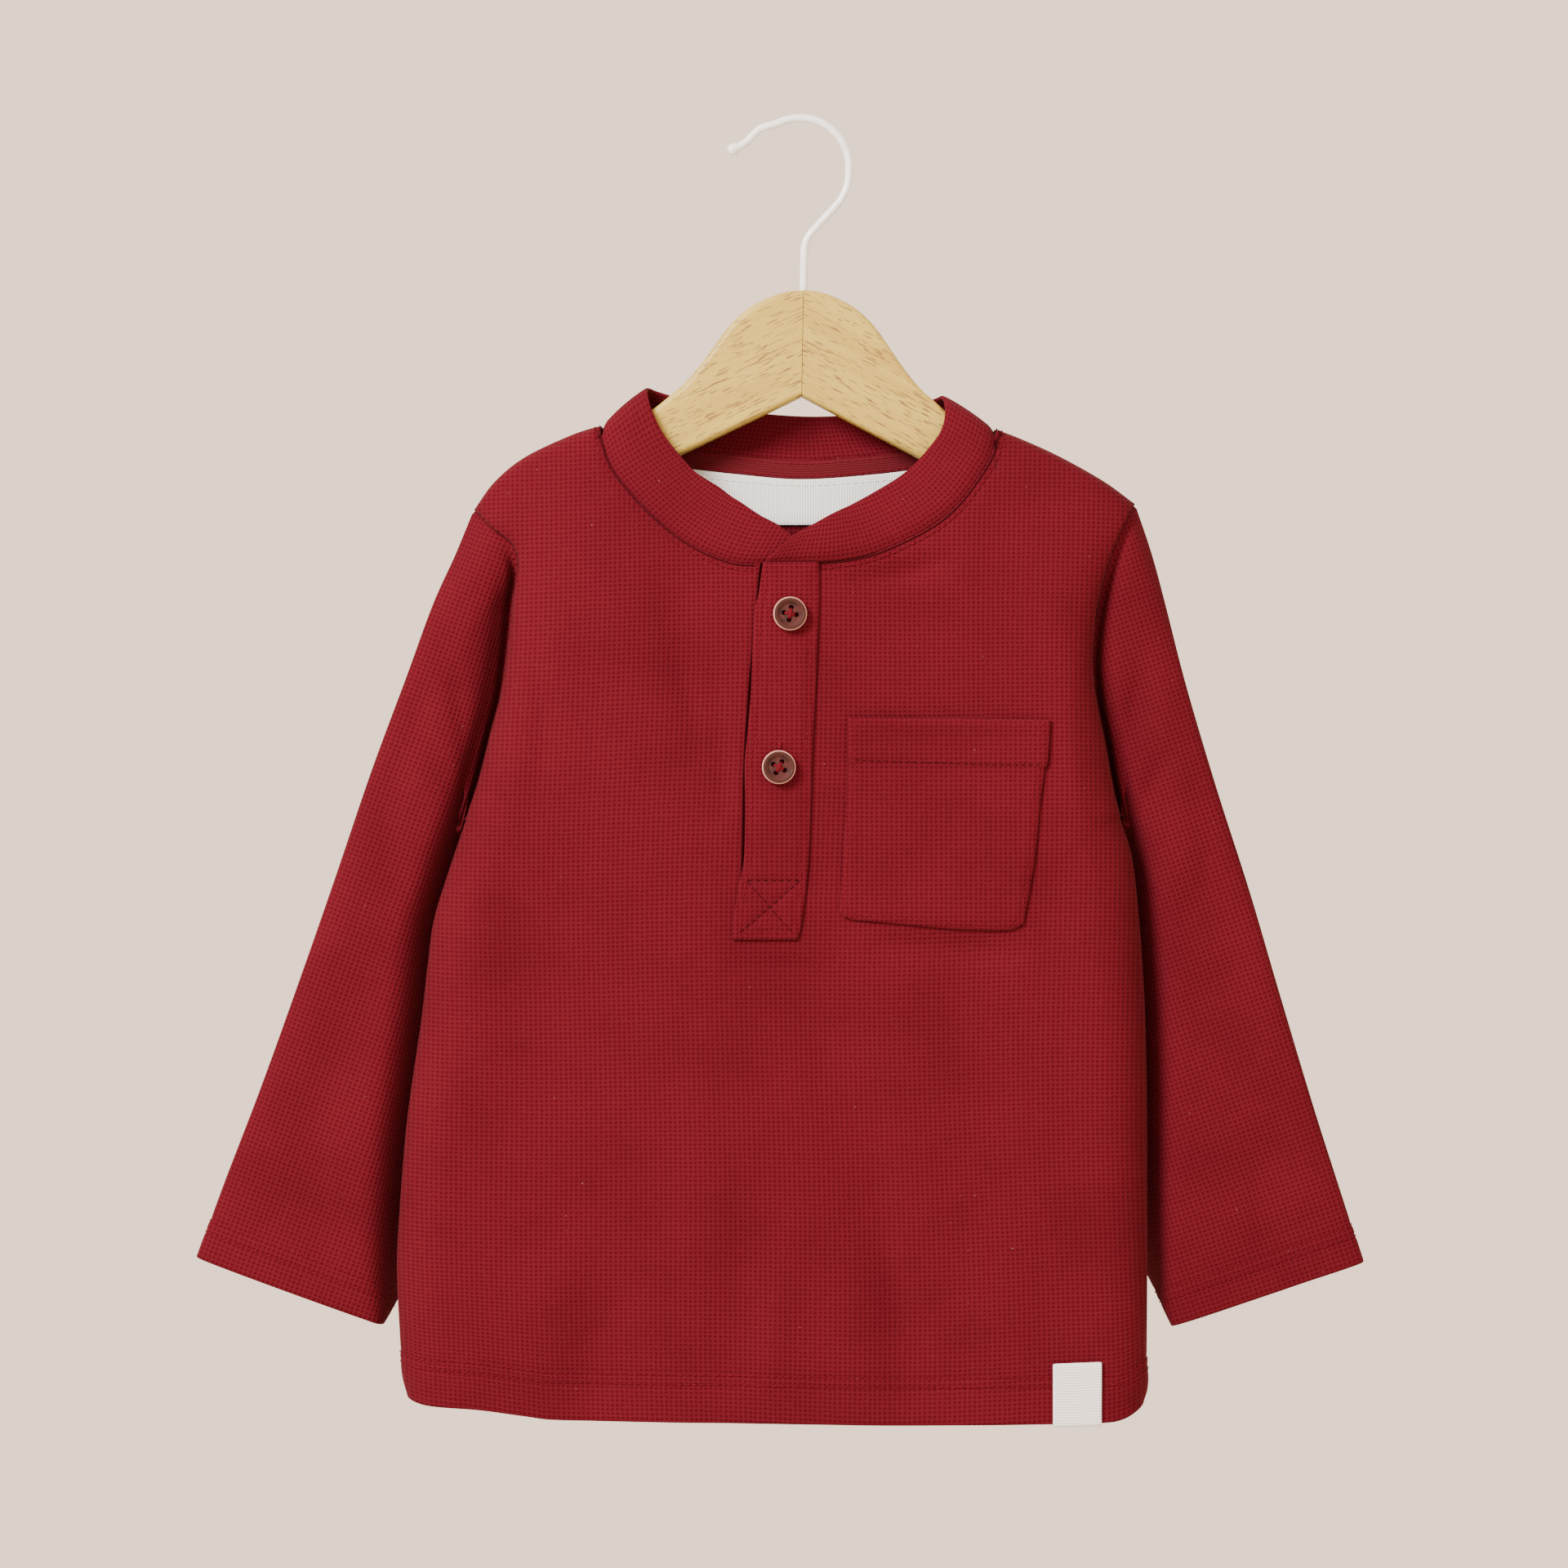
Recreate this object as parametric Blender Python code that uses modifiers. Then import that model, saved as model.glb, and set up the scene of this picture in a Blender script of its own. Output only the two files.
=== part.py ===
"""A toddler's long-sleeved henley top on a wooden hanger with a wire hook.

The origin is the inner top of the hook, where a rod or a nail bears. The front faces -Y, +X is the
viewer's right and +Z is up. Tables and named sizes are in millimetres; meshes are made in metres.
"""

import math

import bmesh
import bpy
import numpy as np
from mathutils import Matrix

MM = 0.001
WELD = 0.00002

# Cloth
CLOTH = 1.5  # knitted wall
WOVEN = 1.0  # tape and labels
GAP = 0.3  # between neighbouring pieces
SEAM_HALF = 0.3  # half the parting at the shoulder and side seams
RIDGE = 9.0  # half the cloth's depth over the hanger
RIDGE_DROP = 4.6  # how far below the shoulder line the ridge reaches that depth
FRONT_DEPTH = 18.0
BACK_DEPTH = 12.5
DRAPE_DROP = 62.0  # how far below the shoulder line the cloth reaches its full depth
SIDE_ROLL = 20.0  # width of the rounding at the sides
ROLL_POWER = 2.2
HEM_DRAW_IN = 0.18  # share of the depth that the body loses towards its hem
CHEST_Z = -345.0
HEM_Z = -492.0
BACK_WAIST_Z = -280.0
NECK_PLATEAU_Z = -113.5

# Shoulder line: x, z
SHOULDER_LEFT = [
    (-124.0, -147.1), (-116.2, -136.6), (-104.8, -127.3), (-87.1, -118.9), (-75.6, -115.2),
]
SHOULDER_RIGHT = [
    (73.5, -116.4), (86.5, -121.7), (99.5, -127.8), (115.0, -136.6), (126.5, -144.9),
]

# Armhole from the shoulder point to the underarm: x, z, front y, back y
ARMHOLE_LEFT = [
    (-124.0, -147.1, 0.0, 0.0),
    (-117.3, -154.1, -7.8, 7.8),
    (-112.4, -157.8, -9.0, 9.2),
    (-108.6, -161.5, -9.2, 10.0),
    (-106.8, -168.3, -8.6, 10.3),
    (-108.6, -179.8, -6.0, 10.0),
    (-110.5, -196.8, -3.2, 9.5),
    (-113.3, -215.7, -1.8, 9.0),
    (-117.3, -230.8, -2.0, 8.6),
    (-121.9, -248.8, -2.8, 8.0),
    (-125.4, -259.5, -2.8, 6.4),
    (-127.0, -264.4, -1.6, 3.6),
    (-127.5, -265.8, 0.0, 0.0),
]
ARMHOLE_RIGHT = [
    (126.5, -144.9, 0.0, 0.0),
    (123.8, -149.7, -6.6, 6.6),
    (120.1, -157.2, -9.4, 9.4),
    (116.0, -167.7, -9.6, 10.2),
    (113.0, -179.1, -8.4, 10.2),
    (111.1, -190.6, -7.0, 10.0),
    (110.2, -203.6, -5.6, 9.6),
    (111.6, -218.0, -4.2, 9.2),
    (115.3, -236.0, -2.8, 8.0),
    (118.2, -252.2, -2.6, 7.2),
    (120.4, -261.0, -2.4, 5.6),
    (121.0, -263.2, -1.5, 3.2),
    (121.1, -264.3, 0.0, 0.0),
]

# Side seam from the underarm to the hem: x, z
SIDE_LEFT = [
    (-127.5, -265.8), (-134.8, -287.5), (-139.6, -303.9), (-142.0, -322.5), (-144.2, -341.1),
    (-149.5, -378.3), (-152.2, -410.0), (-153.4, -434.1), (-152.2, -461.9), (-151.2, -475.0),
    (-149.0, -483.4),
]
SIDE_RIGHT = [
    (121.1, -264.3), (125.5, -278.5), (128.0, -299.3), (130.1, -329.0), (131.1, -360.0),
    (131.4, -403.1), (131.4, -440.0), (131.2, -467.2), (131.4, -479.0), (129.5, -486.0),
]

# Hem from the left side seam to the right one: x, z
FRONT_HEM = [
    (-149.0, -483.4), (-141.2, -485.2), (-122.5, -486.5), (-103.7, -489.0), (-91.1, -490.4),
    (-60.0, -491.0), (-25.0, -491.5), (30.4, -492.4), (70.0, -492.2), (110.4, -491.5),
    (121.5, -490.2), (129.5, -486.0),
]
BACK_HEM = [
    (-149.0, -483.4), (-120.0, -487.0), (-60.0, -489.5), (0.0, -490.5), (60.0, -490.0),
    (110.0, -489.0), (129.5, -486.0),
]

# Neckline, where the collar is sewn on: x, z
NECK_LEFT = [
    (-75.6, -115.2), (-75.6, -118.6), (-74.6, -122.5), (-72.6, -128.8), (-69.6, -134.2),
    (-65.4, -139.6), (-58.4, -147.4), (-49.0, -155.9), (-41.0, -161.3), (-33.3, -165.2),
    (-24.5, -168.0), (-17.3, -168.5),
]
NECK_RIGHT = [
    (2.4, -167.8), (12.3, -167.3), (24.9, -165.1), (37.5, -160.2), (50.1, -153.4),
    (58.9, -145.8), (65.8, -136.9), (70.6, -129.4), (72.8, -123.6), (73.6, -119.6),
    (73.5, -116.4),
]
NECK_BACK = [
    (-75.6, -115.2), (-72.2, -117.6), (-62.0, -120.4), (-47.0, -122.8), (-25.2, -125.4),
    (0.0, -127.4), (27.5, -125.6), (47.0, -123.2), (61.0, -121.2), (70.4, -118.8),
    (73.5, -116.4),
]

# Front opening, left and right edge from the neckline to its foot: x, z
OPENING_LEFT = [(-17.3, -168.5), (-20.6, -200.0), (-23.4, -240.0), (-24.4, -289.0)]
OPENING_RIGHT = [(2.4, -167.8), (1.6, -200.0), (0.0, -240.0), (-1.9, -289.0)]

# Collar band's top edge above points of the neckline: seam x, seam z, top x, top z, top y
COLLAR_LAP_OVER = [(-13.3, -168.0, -3.4, -158.0, -20.2), (-5.0, -167.8, 0.8, -155.8, -20.0)]
COLLAR_RIGHT = [
    (2.4, -167.8, 5.8, -153.2, -19.7),
    (12.3, -167.3, 12.3, -149.6, -18.6),
    (24.9, -165.1, 19.0, -146.4, -17.2),
    (37.5, -160.2, 27.0, -142.0, -16.2),
    (50.1, -153.4, 37.0, -135.8, -14.8),
    (58.9, -145.8, 43.4, -130.3, -13.5),
    (65.8, -136.9, 49.2, -123.6, -12.0),
    (70.6, -129.4, 53.0, -118.0, -10.6),
    (72.8, -123.6, 54.8, -111.6, -9.0),
    (73.6, -119.6, 54.8, -106.6, -5.4),
    (73.5, -116.4, 54.2, -103.1, 0.0),
]
COLLAR_BACK = [
    (-75.6, -115.2, -59.2, -100.3, 0.0),
    (-72.2, -117.6, -56.0, -101.6, 5.6),
    (-62.0, -120.4, -47.0, -104.2, 8.8),
    (-47.0, -122.8, -36.0, -106.8, 9.4),
    (-25.2, -125.4, -20.0, -109.6, 9.6),
    (0.0, -127.4, 0.0, -111.3, 9.6),
    (27.5, -125.6, 20.0, -110.8, 9.6),
    (47.0, -123.2, 35.0, -108.6, 9.4),
    (61.0, -121.2, 45.0, -106.4, 8.8),
    (70.4, -118.8, 52.0, -104.4, 5.6),
    (73.5, -116.4, 54.2, -103.1, 0.0),
]
COLLAR_LEFT = [
    (-75.6, -115.2, -59.2, -100.3, 0.0),
    (-75.6, -118.6, -58.8, -103.4, -5.4),
    (-74.6, -122.5, -57.2, -109.0, -9.2),
    (-72.6, -128.8, -53.6, -117.0, -11.4),
    (-69.6, -134.2, -49.8, -122.8, -12.3),
    (-65.4, -139.6, -45.6, -127.8, -12.9),
    (-58.4, -147.4, -40.1, -133.9, -14.2),
    (-49.0, -155.9, -31.4, -139.5, -15.4),
    (-41.0, -161.3, -27.0, -142.9, -16.1),
    (-33.3, -165.2, -22.3, -145.9, -16.7),
    (-24.5, -168.0, -15.4, -150.6, -17.3),
    (-17.3, -168.5, -9.3, -153.6, -17.7),
]
COLLAR_LAP_UNDER = [(-9.0, -168.3, -3.6, -158.0, -18.0), (-1.0, -168.0, 1.6, -160.4, -18.1)]
COLLAR_LIFT_SHARE = 0.36  # share of the right neckline over which the lap settles on the panel
COLLAR_BULGE = 1.0
COLLAR_LEVELS = 4
COLLAR_FOOT = 0.95  # from the neckline to the band's lower edge

# Placket's top strip from the neckline to the foot of its box: z, left x, right x
PLACKET = [
    (-168.8, -14.2, 6.4),
    (-179.5, -15.6, 6.4),
    (-186.0, -17.2, 6.3),
    (-200.0, -18.0, 5.8),
    (-217.2, -18.6, 5.0),
    (-231.3, -19.8, 4.3),
    (-243.0, -21.0, 3.8),
    (-262.0, -20.7, 3.2),
    (-280.0, -21.2, 2.5),
    (-290.5, -23.4, 1.4),
    (-301.0, -25.0, 0.2),
    (-309.6, -25.5, -1.4),
]
UNDER_PLACKET_REACH = 4.5  # how far the under strip reaches behind each side of the opening

# Pocket's edges: x, z
POCKET_TOP = [(17.7, -226.1), (55.0, -226.8), (93.2, -227.3)]
POCKET_RIGHT = [(93.2, -227.3), (92.3, -242.7), (90.1, -261.4), (88.3, -280.1), (84.2, -303.8)]
POCKET_LEFT = [(17.7, -226.1), (17.4, -242.7), (15.3, -274.0), (13.7, -299.4)]
POCKET_BOTTOM = [
    (13.7, -299.4), (18.3, -301.9), (37.0, -303.7), (55.8, -305.5), (76.0, -306.2), (84.2, -303.8),
]
POCKET_HEM = 16.0
POCKET_HEM_STEP = 0.6
POCKET_HEM_EASE = 0.02  # share of the height over which the hem's step dies out
POCKET_COLUMNS = 8
POCKET_ROWS = 7

# Buttons on the placket: x, z, turn in degrees
BUTTONS = {"button_upper": (-4.2, -187.4, 10.0), "button_lower": (-8.4, -245.0, 28.0)}
BUTTON_THICK = 3.2
# Half section of a button from the dish over the rim to the back: radius, height
BUTTON_SECTION = [
    (0.0, 2.2), (3.6, 2.2), (4.8, 3.05), (5.55, 3.2), (6.1, 2.7), (6.3, 1.6), (5.5, 0.2),
    (4.9, 0.0), (0.0, 0.0),
]
BUTTON_HOLE_RADIUS = 0.95
BUTTON_HOLE_SIDES = 8
BUTTON_HOLE_RING = 2.6
BUTTON_SIDES = 24

# Labels and tape inside the back of the neck, and at the hem
LABEL_ROWS = (0.0, 0.33, 0.67, 1.0)
TAPE_HALF_WIDTH = 60.0
TAPE_HEIGHT = 6.6
NECK_LABEL_HALF_WIDTH = 46.0
NECK_LABEL_FOOT_Z = -152.2
HEM_LABEL_LEFT = 95.0
HEM_LABEL_RIGHT = 112.7
HEM_LABEL_TOP_Z = -469.4
HEM_LABEL_INSIDE = 15.0
HEM_LABEL_BEND = (0.9, 0.5)  # the fold's bevel: below the hem's edge, in from the label's face
HEM_LABEL_BEND_FROM = 0.2  # how far above the edge the fold starts

# Folds, negative towards the viewer: from x, from z, to x, to z, depth, half width
FRONT_FOLDS = [
    (-44.0, -176.0, -38.0, -236.0, 1.8, 9.0),
    (14.0, -173.0, 44.0, -168.0, 1.0, 4.5),
    (-112.0, -350.0, -92.0, -402.0, 2.6, 26.0),
    (2.0, -330.0, 44.0, -478.0, 2.4, 13.0),
    (62.0, -402.0, 98.0, -452.0, 1.6, 13.0),
    (-124.0, -292.0, -118.0, -340.0, -1.6, 11.0),
    (-30.0, -350.0, -48.0, -500.0, -1.4, 15.0),
    (-78.0, -452.0, -84.0, -500.0, 1.8, 11.0),
    (84.0, -330.0, 76.0, -500.0, -1.2, 14.0),
    (30.0, -316.0, 88.0, -312.0, 0.9, 6.0),
    (-84.0, -160.0, -70.0, -215.0, -1.0, 12.0),
]
BACK_FOLDS = [
    (-40.0, -150.0, -66.0, -250.0, 1.6, 12.0),
    (52.0, -160.0, 70.0, -260.0, 1.4, 13.0),
    (-10.0, -260.0, -34.0, -495.0, 2.4, 15.0),
    (58.0, -330.0, 50.0, -495.0, -1.6, 16.0),
    (-92.0, -380.0, -84.0, -495.0, -1.4, 13.0),
    (14.0, -380.0, 20.0, -495.0, -1.3, 11.0),
]

FOLD_END_SHARE = 0.55  # share of its depth that a fold has at its ends

# Sleeves from the armhole to the cuff:
# outer x, outer z, inner x, inner z, half depth, share of the armhole's own form
SLEEVE_LEFT = [
    (-124.6, -148.0, -127.9, -265.9, 5.0, 1.00),
    (-131.4, -164.5, -134.5, -270.5, 6.0, 0.62),
    (-139.8, -183.1, -133.5, -281.0, 6.6, 0.28),
    (-150.0, -211.0, -122.0, -293.0, 7.0, 0.06),
    (-163.0, -246.0, -107.0, -306.5, 7.4, 0.0),
    (-177.5, -288.6, -97.0, -325.0, 7.6, 0.0),
    (-191.4, -328.4, -105.0, -359.0, 7.4, 0.0),
    (-205.5, -367.5, -123.0, -396.0, 7.0, 0.0),
    (-218.6, -401.6, -142.0, -427.5, 6.6, 0.0),
    (-229.1, -430.4, -158.8, -456.2, 6.2, 0.0),
]
SLEEVE_RIGHT = [
    (127.1, -145.8, 121.5, -264.4, 5.0, 1.00),
    (133.3, -164.5, 128.4, -269.0, 6.0, 0.62),
    (138.3, -183.1, 128.0, -279.5, 6.6, 0.28),
    (146.2, -214.0, 117.0, -291.5, 7.0, 0.06),
    (157.6, -252.5, 102.5, -305.5, 7.4, 0.0),
    (170.4, -292.5, 91.0, -323.0, 7.6, 0.0),
    (182.0, -332.0, 99.0, -359.5, 7.4, 0.0),
    (194.6, -374.0, 114.0, -400.0, 7.0, 0.0),
    (204.9, -406.3, 128.6, -431.0, 6.6, 0.0),
    (213.2, -432.2, 140.9, -456.9, 6.2, 0.0),
]
SLEEVE_OUTER_Y = {"left": 1.0, "right": 3.5}  # middle of the sleeve beside the body
SLEEVE_BEHIND_Y = 18.0  # middle of the sleeve behind the body
SLEEVE_STEP_FROM = -14.0  # where the sleeve starts to turn behind the body's edge
SLEEVE_STEP_TO = 2.0
SLEEVE_CLEAR = 1.7
SLEEVE_MARGIN = 3.0
SLEEVE_POWER = 3.0
SLEEVE_LEAST = 4.4  # least depth of the flattened sleeve
SLEEVE_PARTING = 0.57  # from the armhole's edge to the sleeve
SLEEVE_EDGE_RISE = 3.0  # how fast the middle leaves the sleeve's outer edge
SLEEVE_COLUMNS = 12
# Folds along and across the sleeves, as on the front
SLEEVE_FOLDS = {
    "left": [
        (-132.0, -182.0, -158.0, -262.0, 1.6, 6.0),
        (-168.0, -330.0, -186.0, -392.0, 1.5, 9.0),
        (-214.0, -400.0, -172.0, -418.0, 0.9, 5.0),
    ],
    "right": [
        (130.0, -186.0, 146.0, -278.0, -1.8, 5.5),
        (150.0, -250.0, 166.0, -350.0, 1.6, 8.0),
        (196.0, -384.0, 158.0, -402.0, 1.0, 6.0),
    ],
}

# Hanger, in its own upright frame, turned by its tilt about the origin
TILT = math.radians(1.0)
STEM_X = 2.0
ARM_THICK = 12.0
ARM_ROUND = 2.2
ARM_CROWN_Z = -64.2
ARM_UNDER_Z = -104.4
ARM_UNDER_SLOPE = 0.504
ARM_END_RADIUS = 11.0
# Top edge of one arm from the crown outwards: distance from the stem, z
ARM_TOP = [
    (6.5, -64.9), (12.5, -66.9), (19.2, -70.4), (24.4, -74.6), (28.7, -79.4), (33.0, -85.4),
    (37.3, -91.5), (41.5, -96.9), (45.7, -101.5), (50.0, -105.2), (56.5, -110.4), (66.0, -115.4),
    (76.0, -119.4), (88.0, -123.6), (98.0, -128.4), (105.5, -132.9),
]

# Hook of round wire
WIRE = 3.0
HOOK_RADIUS = 18.5  # to the wire's middle
HOOK_DROP = 2.4  # straight wire between the two arcs of the hook's side
HOOK_TIP_ANGLE = 117.0
HOOK_FOOT_ANGLE = -42.0
HOOK_TIP_RUN = 17.5
HOOK_NECK_RADIUS = 12.0
HOOK_STEM_FOOT_Z = -88.0
HOOK_ARC_STEPS = 18
BORE_DEPTH_Z = -88.5
# Ball at the hook's tip: distance past the wire's end, radius as a share of the wire's
HOOK_BALL = [(0.6, 1.12), (1.4, 1.42), (2.6, 1.55), (3.8, 1.36), (4.6, 0.85)]

# Colour, roughness, metallic
FINISHES = {
    "knit": ((0.27, 0.012, 0.017), 0.92, 0.0),
    "tape": ((0.30, 0.024, 0.030), 0.85, 0.0),
    "label": ((0.80, 0.79, 0.78), 0.75, 0.0),
    "button": ((0.11, 0.018, 0.015), 0.40, 0.0),
    "wood": ((0.66, 0.52, 0.30), 0.55, 0.0),
    "wire": ((0.85, 0.85, 0.84), 0.35, 0.0),
}

# Places of the grid's lines, closer together where the cloth turns
PANEL_COLUMNS_MM = (0, 0.25, 1.3, 3.4, 7, 12, 19, 28, 40, 55, 57, 61, 68, 79, 92, 110, 130)
NECK_COLUMN = 9  # the column that starts at the neck point
OPENING_COLUMNS = 2
NECK_SHARES = (np.asarray(PANEL_COLUMNS_MM[NECK_COLUMN:]) - PANEL_COLUMNS_MM[NECK_COLUMN]) / (
    PANEL_COLUMNS_MM[-1] - PANEL_COLUMNS_MM[NECK_COLUMN]
)
UPPER_ROWS = (0, 0.0012, 0.010, 0.028, 0.055, 0.10, 0.17, 0.26, 0.37, 0.49, 0.62, 0.75, 0.88, 1)
LOWER_ROWS = 9


def clear_scene():
    for item in list(bpy.data.objects):
        bpy.data.objects.remove(item, do_unlink=True)


def collection(name):
    group = bpy.data.collections.new(name)
    bpy.context.scene.collection.children.link(group)
    return group


def material(name):
    made = bpy.data.materials.get(name)
    if made:
        return made
    colour, roughness, metallic = FINISHES[name]
    made = bpy.data.materials.new(name)
    made.use_nodes = True
    shader = made.node_tree.nodes["Principled BSDF"]
    shader.inputs["Base Color"].default_value = (*colour, 1.0)
    shader.inputs["Roughness"].default_value = roughness
    shader.inputs["Metallic"].default_value = metallic
    return made


# Curves and grids


def smooth_curve(table, steps=8):
    """A smooth line through a table's rows, with steps points to each row."""
    rows = np.asarray(table, float)
    ends = np.vstack([2 * rows[0] - rows[1], rows, 2 * rows[-1] - rows[-2]])
    t = np.linspace(0, 1, steps, endpoint=False)[:, None]
    pieces = []
    for a, b, c, d in zip(ends[:-3], ends[1:-2], ends[2:-1], ends[3:]):
        pieces.append(
            b + 0.5 * t * (c - a + t * (2 * a - 5 * b + 4 * c - d + t * (3 * b - 3 * c + d - a)))
        )
    return np.vstack([*pieces, rows[-1:]])


def resample(points, fractions):
    """The points at fractions of a line's length, measured in plan, over x and z."""
    steps = np.linalg.norm(np.diff(points[:, :2], axis=0), axis=1)
    run = np.concatenate([[0.0], np.cumsum(steps)])
    at = np.asarray(fractions) * run[-1]
    columns = [np.interp(at, run, points[:, k]) for k in range(points.shape[1])]
    return np.stack(columns, axis=-1)


def patch(top, bottom, left, right, weights, vs):
    """A grid of rows and columns that fills the space between four edges.

    The weights say how far each column follows the right edge's own curve and not the left one's.
    """
    u = np.asarray(weights)[None, :, None]
    v = np.asarray(vs)[:, None, None]
    across = (1 - u) * left[:, None] + u * right[:, None]
    down = (1 - v) * top[None] + v * bottom[None]
    corners = (1 - v) * ((1 - u) * top[0] + u * top[-1]) + v * ((1 - u) * bottom[0] + u * bottom[-1])
    return across + down - corners


def roll(t):
    """A rounded edge's profile: 0 at the edge, 1 from t = 1 on."""
    t = np.clip(t, 0, 1)
    return (1 - (1 - t) ** ROLL_POWER) ** (1 / ROLL_POWER)


def ease(t):
    t = np.clip(t, 0, 1)
    return t * t * (3 - 2 * t)


def segment_distance(x, z, ax, az, bx, bz):
    dx, dz = bx - ax, bz - az
    t = np.clip(((x - ax) * dx + (z - az) * dz) / (dx * dx + dz * dz), 0, 1)
    return np.hypot(x - ax - t * dx, z - az - t * dz), t


def fold_depth(x, z, folds):
    """How far the folds push the cloth at x, z."""
    push = np.zeros_like(x)
    for ax, az, bx, bz, depth, half_width in folds:
        away, along = segment_distance(x, z, ax, az, bx, bz)
        swell = FOLD_END_SHARE + (1 - FOLD_END_SHARE) * np.sin(math.pi * along)
        push += depth * swell * np.exp(-((away / half_width) ** 2))
    return push


def near_edge(edge, x, z):
    """The distance to an edge of rows x, z, y, and the edge's y at its nearest point."""
    best = np.full(x.shape, np.inf)
    depth = np.zeros(x.shape)
    for (ax, az, ay), (bx, bz, by) in zip(edge[:-1], edge[1:]):
        away, along = segment_distance(x, z, ax, az, bx, bz)
        closer = away < best
        best = np.where(closer, away, best)
        depth = np.where(closer, ay + (by - ay) * along, depth)
    return best, depth


# The body's form


def shoulder_line():
    left = smooth_curve(SHOULDER_LEFT)
    right = smooth_curve(SHOULDER_RIGHT)
    plateau = [(left[-1, 0] + 6, NECK_PLATEAU_Z), (right[0, 0] - 6, NECK_PLATEAU_Z)]
    return np.vstack([left, plateau, right])


SHOULDER = shoulder_line()


def side_edge(armhole, side, y_column):
    """The armhole and side seam of one panel edge, as rows x, z, y."""
    hole = smooth_curve([(row[0], row[1], row[y_column]) for row in armhole])
    seam = smooth_curve([(x, z, 0.0) for x, z in side])
    return np.vstack([hole, seam[1:]])


EDGES = {
    "front": [side_edge(ARMHOLE_LEFT, SIDE_LEFT, 2), side_edge(ARMHOLE_RIGHT, SIDE_RIGHT, 2)],
    "back": [side_edge(ARMHOLE_LEFT, SIDE_LEFT, 3), side_edge(ARMHOLE_RIGHT, SIDE_RIGHT, 3)],
}


def panel_y(x, z, panel):
    """The y of a panel's outer surface at x, z."""
    x = np.asarray(x, float)
    z = np.asarray(z, float)
    toward, depth, folds = {
        "front": (-1, FRONT_DEPTH, FRONT_FOLDS),
        "back": (1, BACK_DEPTH, BACK_FOLDS),
    }[panel]
    drop = np.interp(x, SHOULDER[:, 0], SHOULDER[:, 1]) - z
    fall = np.clip(drop / DRAPE_DROP, 0, 1)
    out = RIDGE * roll(drop / RIDGE_DROP) + (depth - RIDGE) * (1 - (1 - fall) ** 2)
    out = out * (1 - HEM_DRAW_IN * ease((CHEST_Z - z) / (CHEST_Z - HEM_Z)))
    y = toward * out + fold_depth(x, z, folds) * ease(drop / DRAPE_DROP)
    for edge in EDGES[panel]:
        away, edge_y = near_edge(edge, x, z)
        y = edge_y + (y - edge_y) * roll(away / SIDE_ROLL)
    return y + toward * SEAM_HALF


def on_panel(plan, panel, lift=0.0):
    """Points x, z set on a panel's outer surface, moved out by lift."""
    out = -1 if panel == "front" else 1
    y = panel_y(plan[..., 0], plan[..., 1], panel) + out * lift
    return np.stack([plan[..., 0], y, plan[..., 1]], axis=-1)


def mesh_object(name, points, faces, finish, group):
    mesh = bpy.data.meshes.new(name)
    mesh.from_pydata([tuple(p) for p in np.asarray(points) * MM], [], faces)
    mesh.materials.append(material(finish))
    mesh.shade_smooth()
    made = bpy.data.objects.new(name, mesh)
    group.objects.link(made)
    return made


def sheet(name, grid, thick, finish, group, closed=False, skip=(), flip=False):
    """A wall of cloth whose outer face is a grid of points, without the cells in skip."""
    rows, columns = grid.shape[:2]
    across = columns if closed else columns - 1
    faces = []
    for r in range(rows - 1):
        for c in range(across):
            if (r, c) in skip:
                continue
            right = (c + 1) % columns
            face = (r * columns + c, r * columns + right, (r + 1) * columns + right, (r + 1) * columns + c)
            faces.append(face[::-1] if flip else face)
    used = sorted({index for face in faces for index in face})
    number = {old: new for new, old in enumerate(used)}
    faces = [tuple(number[index] for index in face) for face in faces]
    made = mesh_object(name, grid.reshape(-1, 3)[used], faces, finish, group)
    wall = made.modifiers.new("wall", "SOLIDIFY")
    wall.thickness = thick * MM
    wall.offset = -1.0
    wall.use_rim = True
    wall.use_quality_normals = True
    return made


def half_panel(neck, shoulder, armhole, side, inner_top, inner_foot, hem, share, hem_share):
    """Plan grid of one half of a panel, from its side edge to an inner column, top to hem."""
    us = np.asarray(PANEL_COLUMNS_MM) / PANEL_COLUMNS_MM[-1]
    at_neck = us[NECK_COLUMN]
    shoulder_part = resample(shoulder, us[: NECK_COLUMN + 1] / at_neck)
    neck_part = resample(neck, (us[NECK_COLUMN:] - at_neck) / (1 - at_neck))
    top = np.vstack([shoulder_part, neck_part[1:]])
    hole = resample(armhole, UPPER_ROWS)
    inner = resample(inner_top, UPPER_ROWS)
    lower = np.linspace(0, 1, LOWER_ROWS + 1)
    seam = resample(side, lower)
    foot = resample(inner_foot, lower)
    waist = hole[-1] + (inner[-1] - hole[-1]) * us[:, None]
    hem_part = resample(hem, share + (hem_share - share) * us)
    # The armhole's curve dies out before the neckline
    above = patch(top, waist, hole, inner, ease(us / at_neck), UPPER_ROWS)
    below = patch(waist, hem_part, seam, foot, us, lower)
    return np.vstack([above, below[1:]])


def hem_fraction(hem, x):
    """How far along the hem its point above x lies."""
    steps = np.linalg.norm(np.diff(hem, axis=0), axis=1)
    run = np.concatenate([[0.0], np.cumsum(steps)])
    return float(np.interp(x, hem[:, 0], run / run[-1]))


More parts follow.
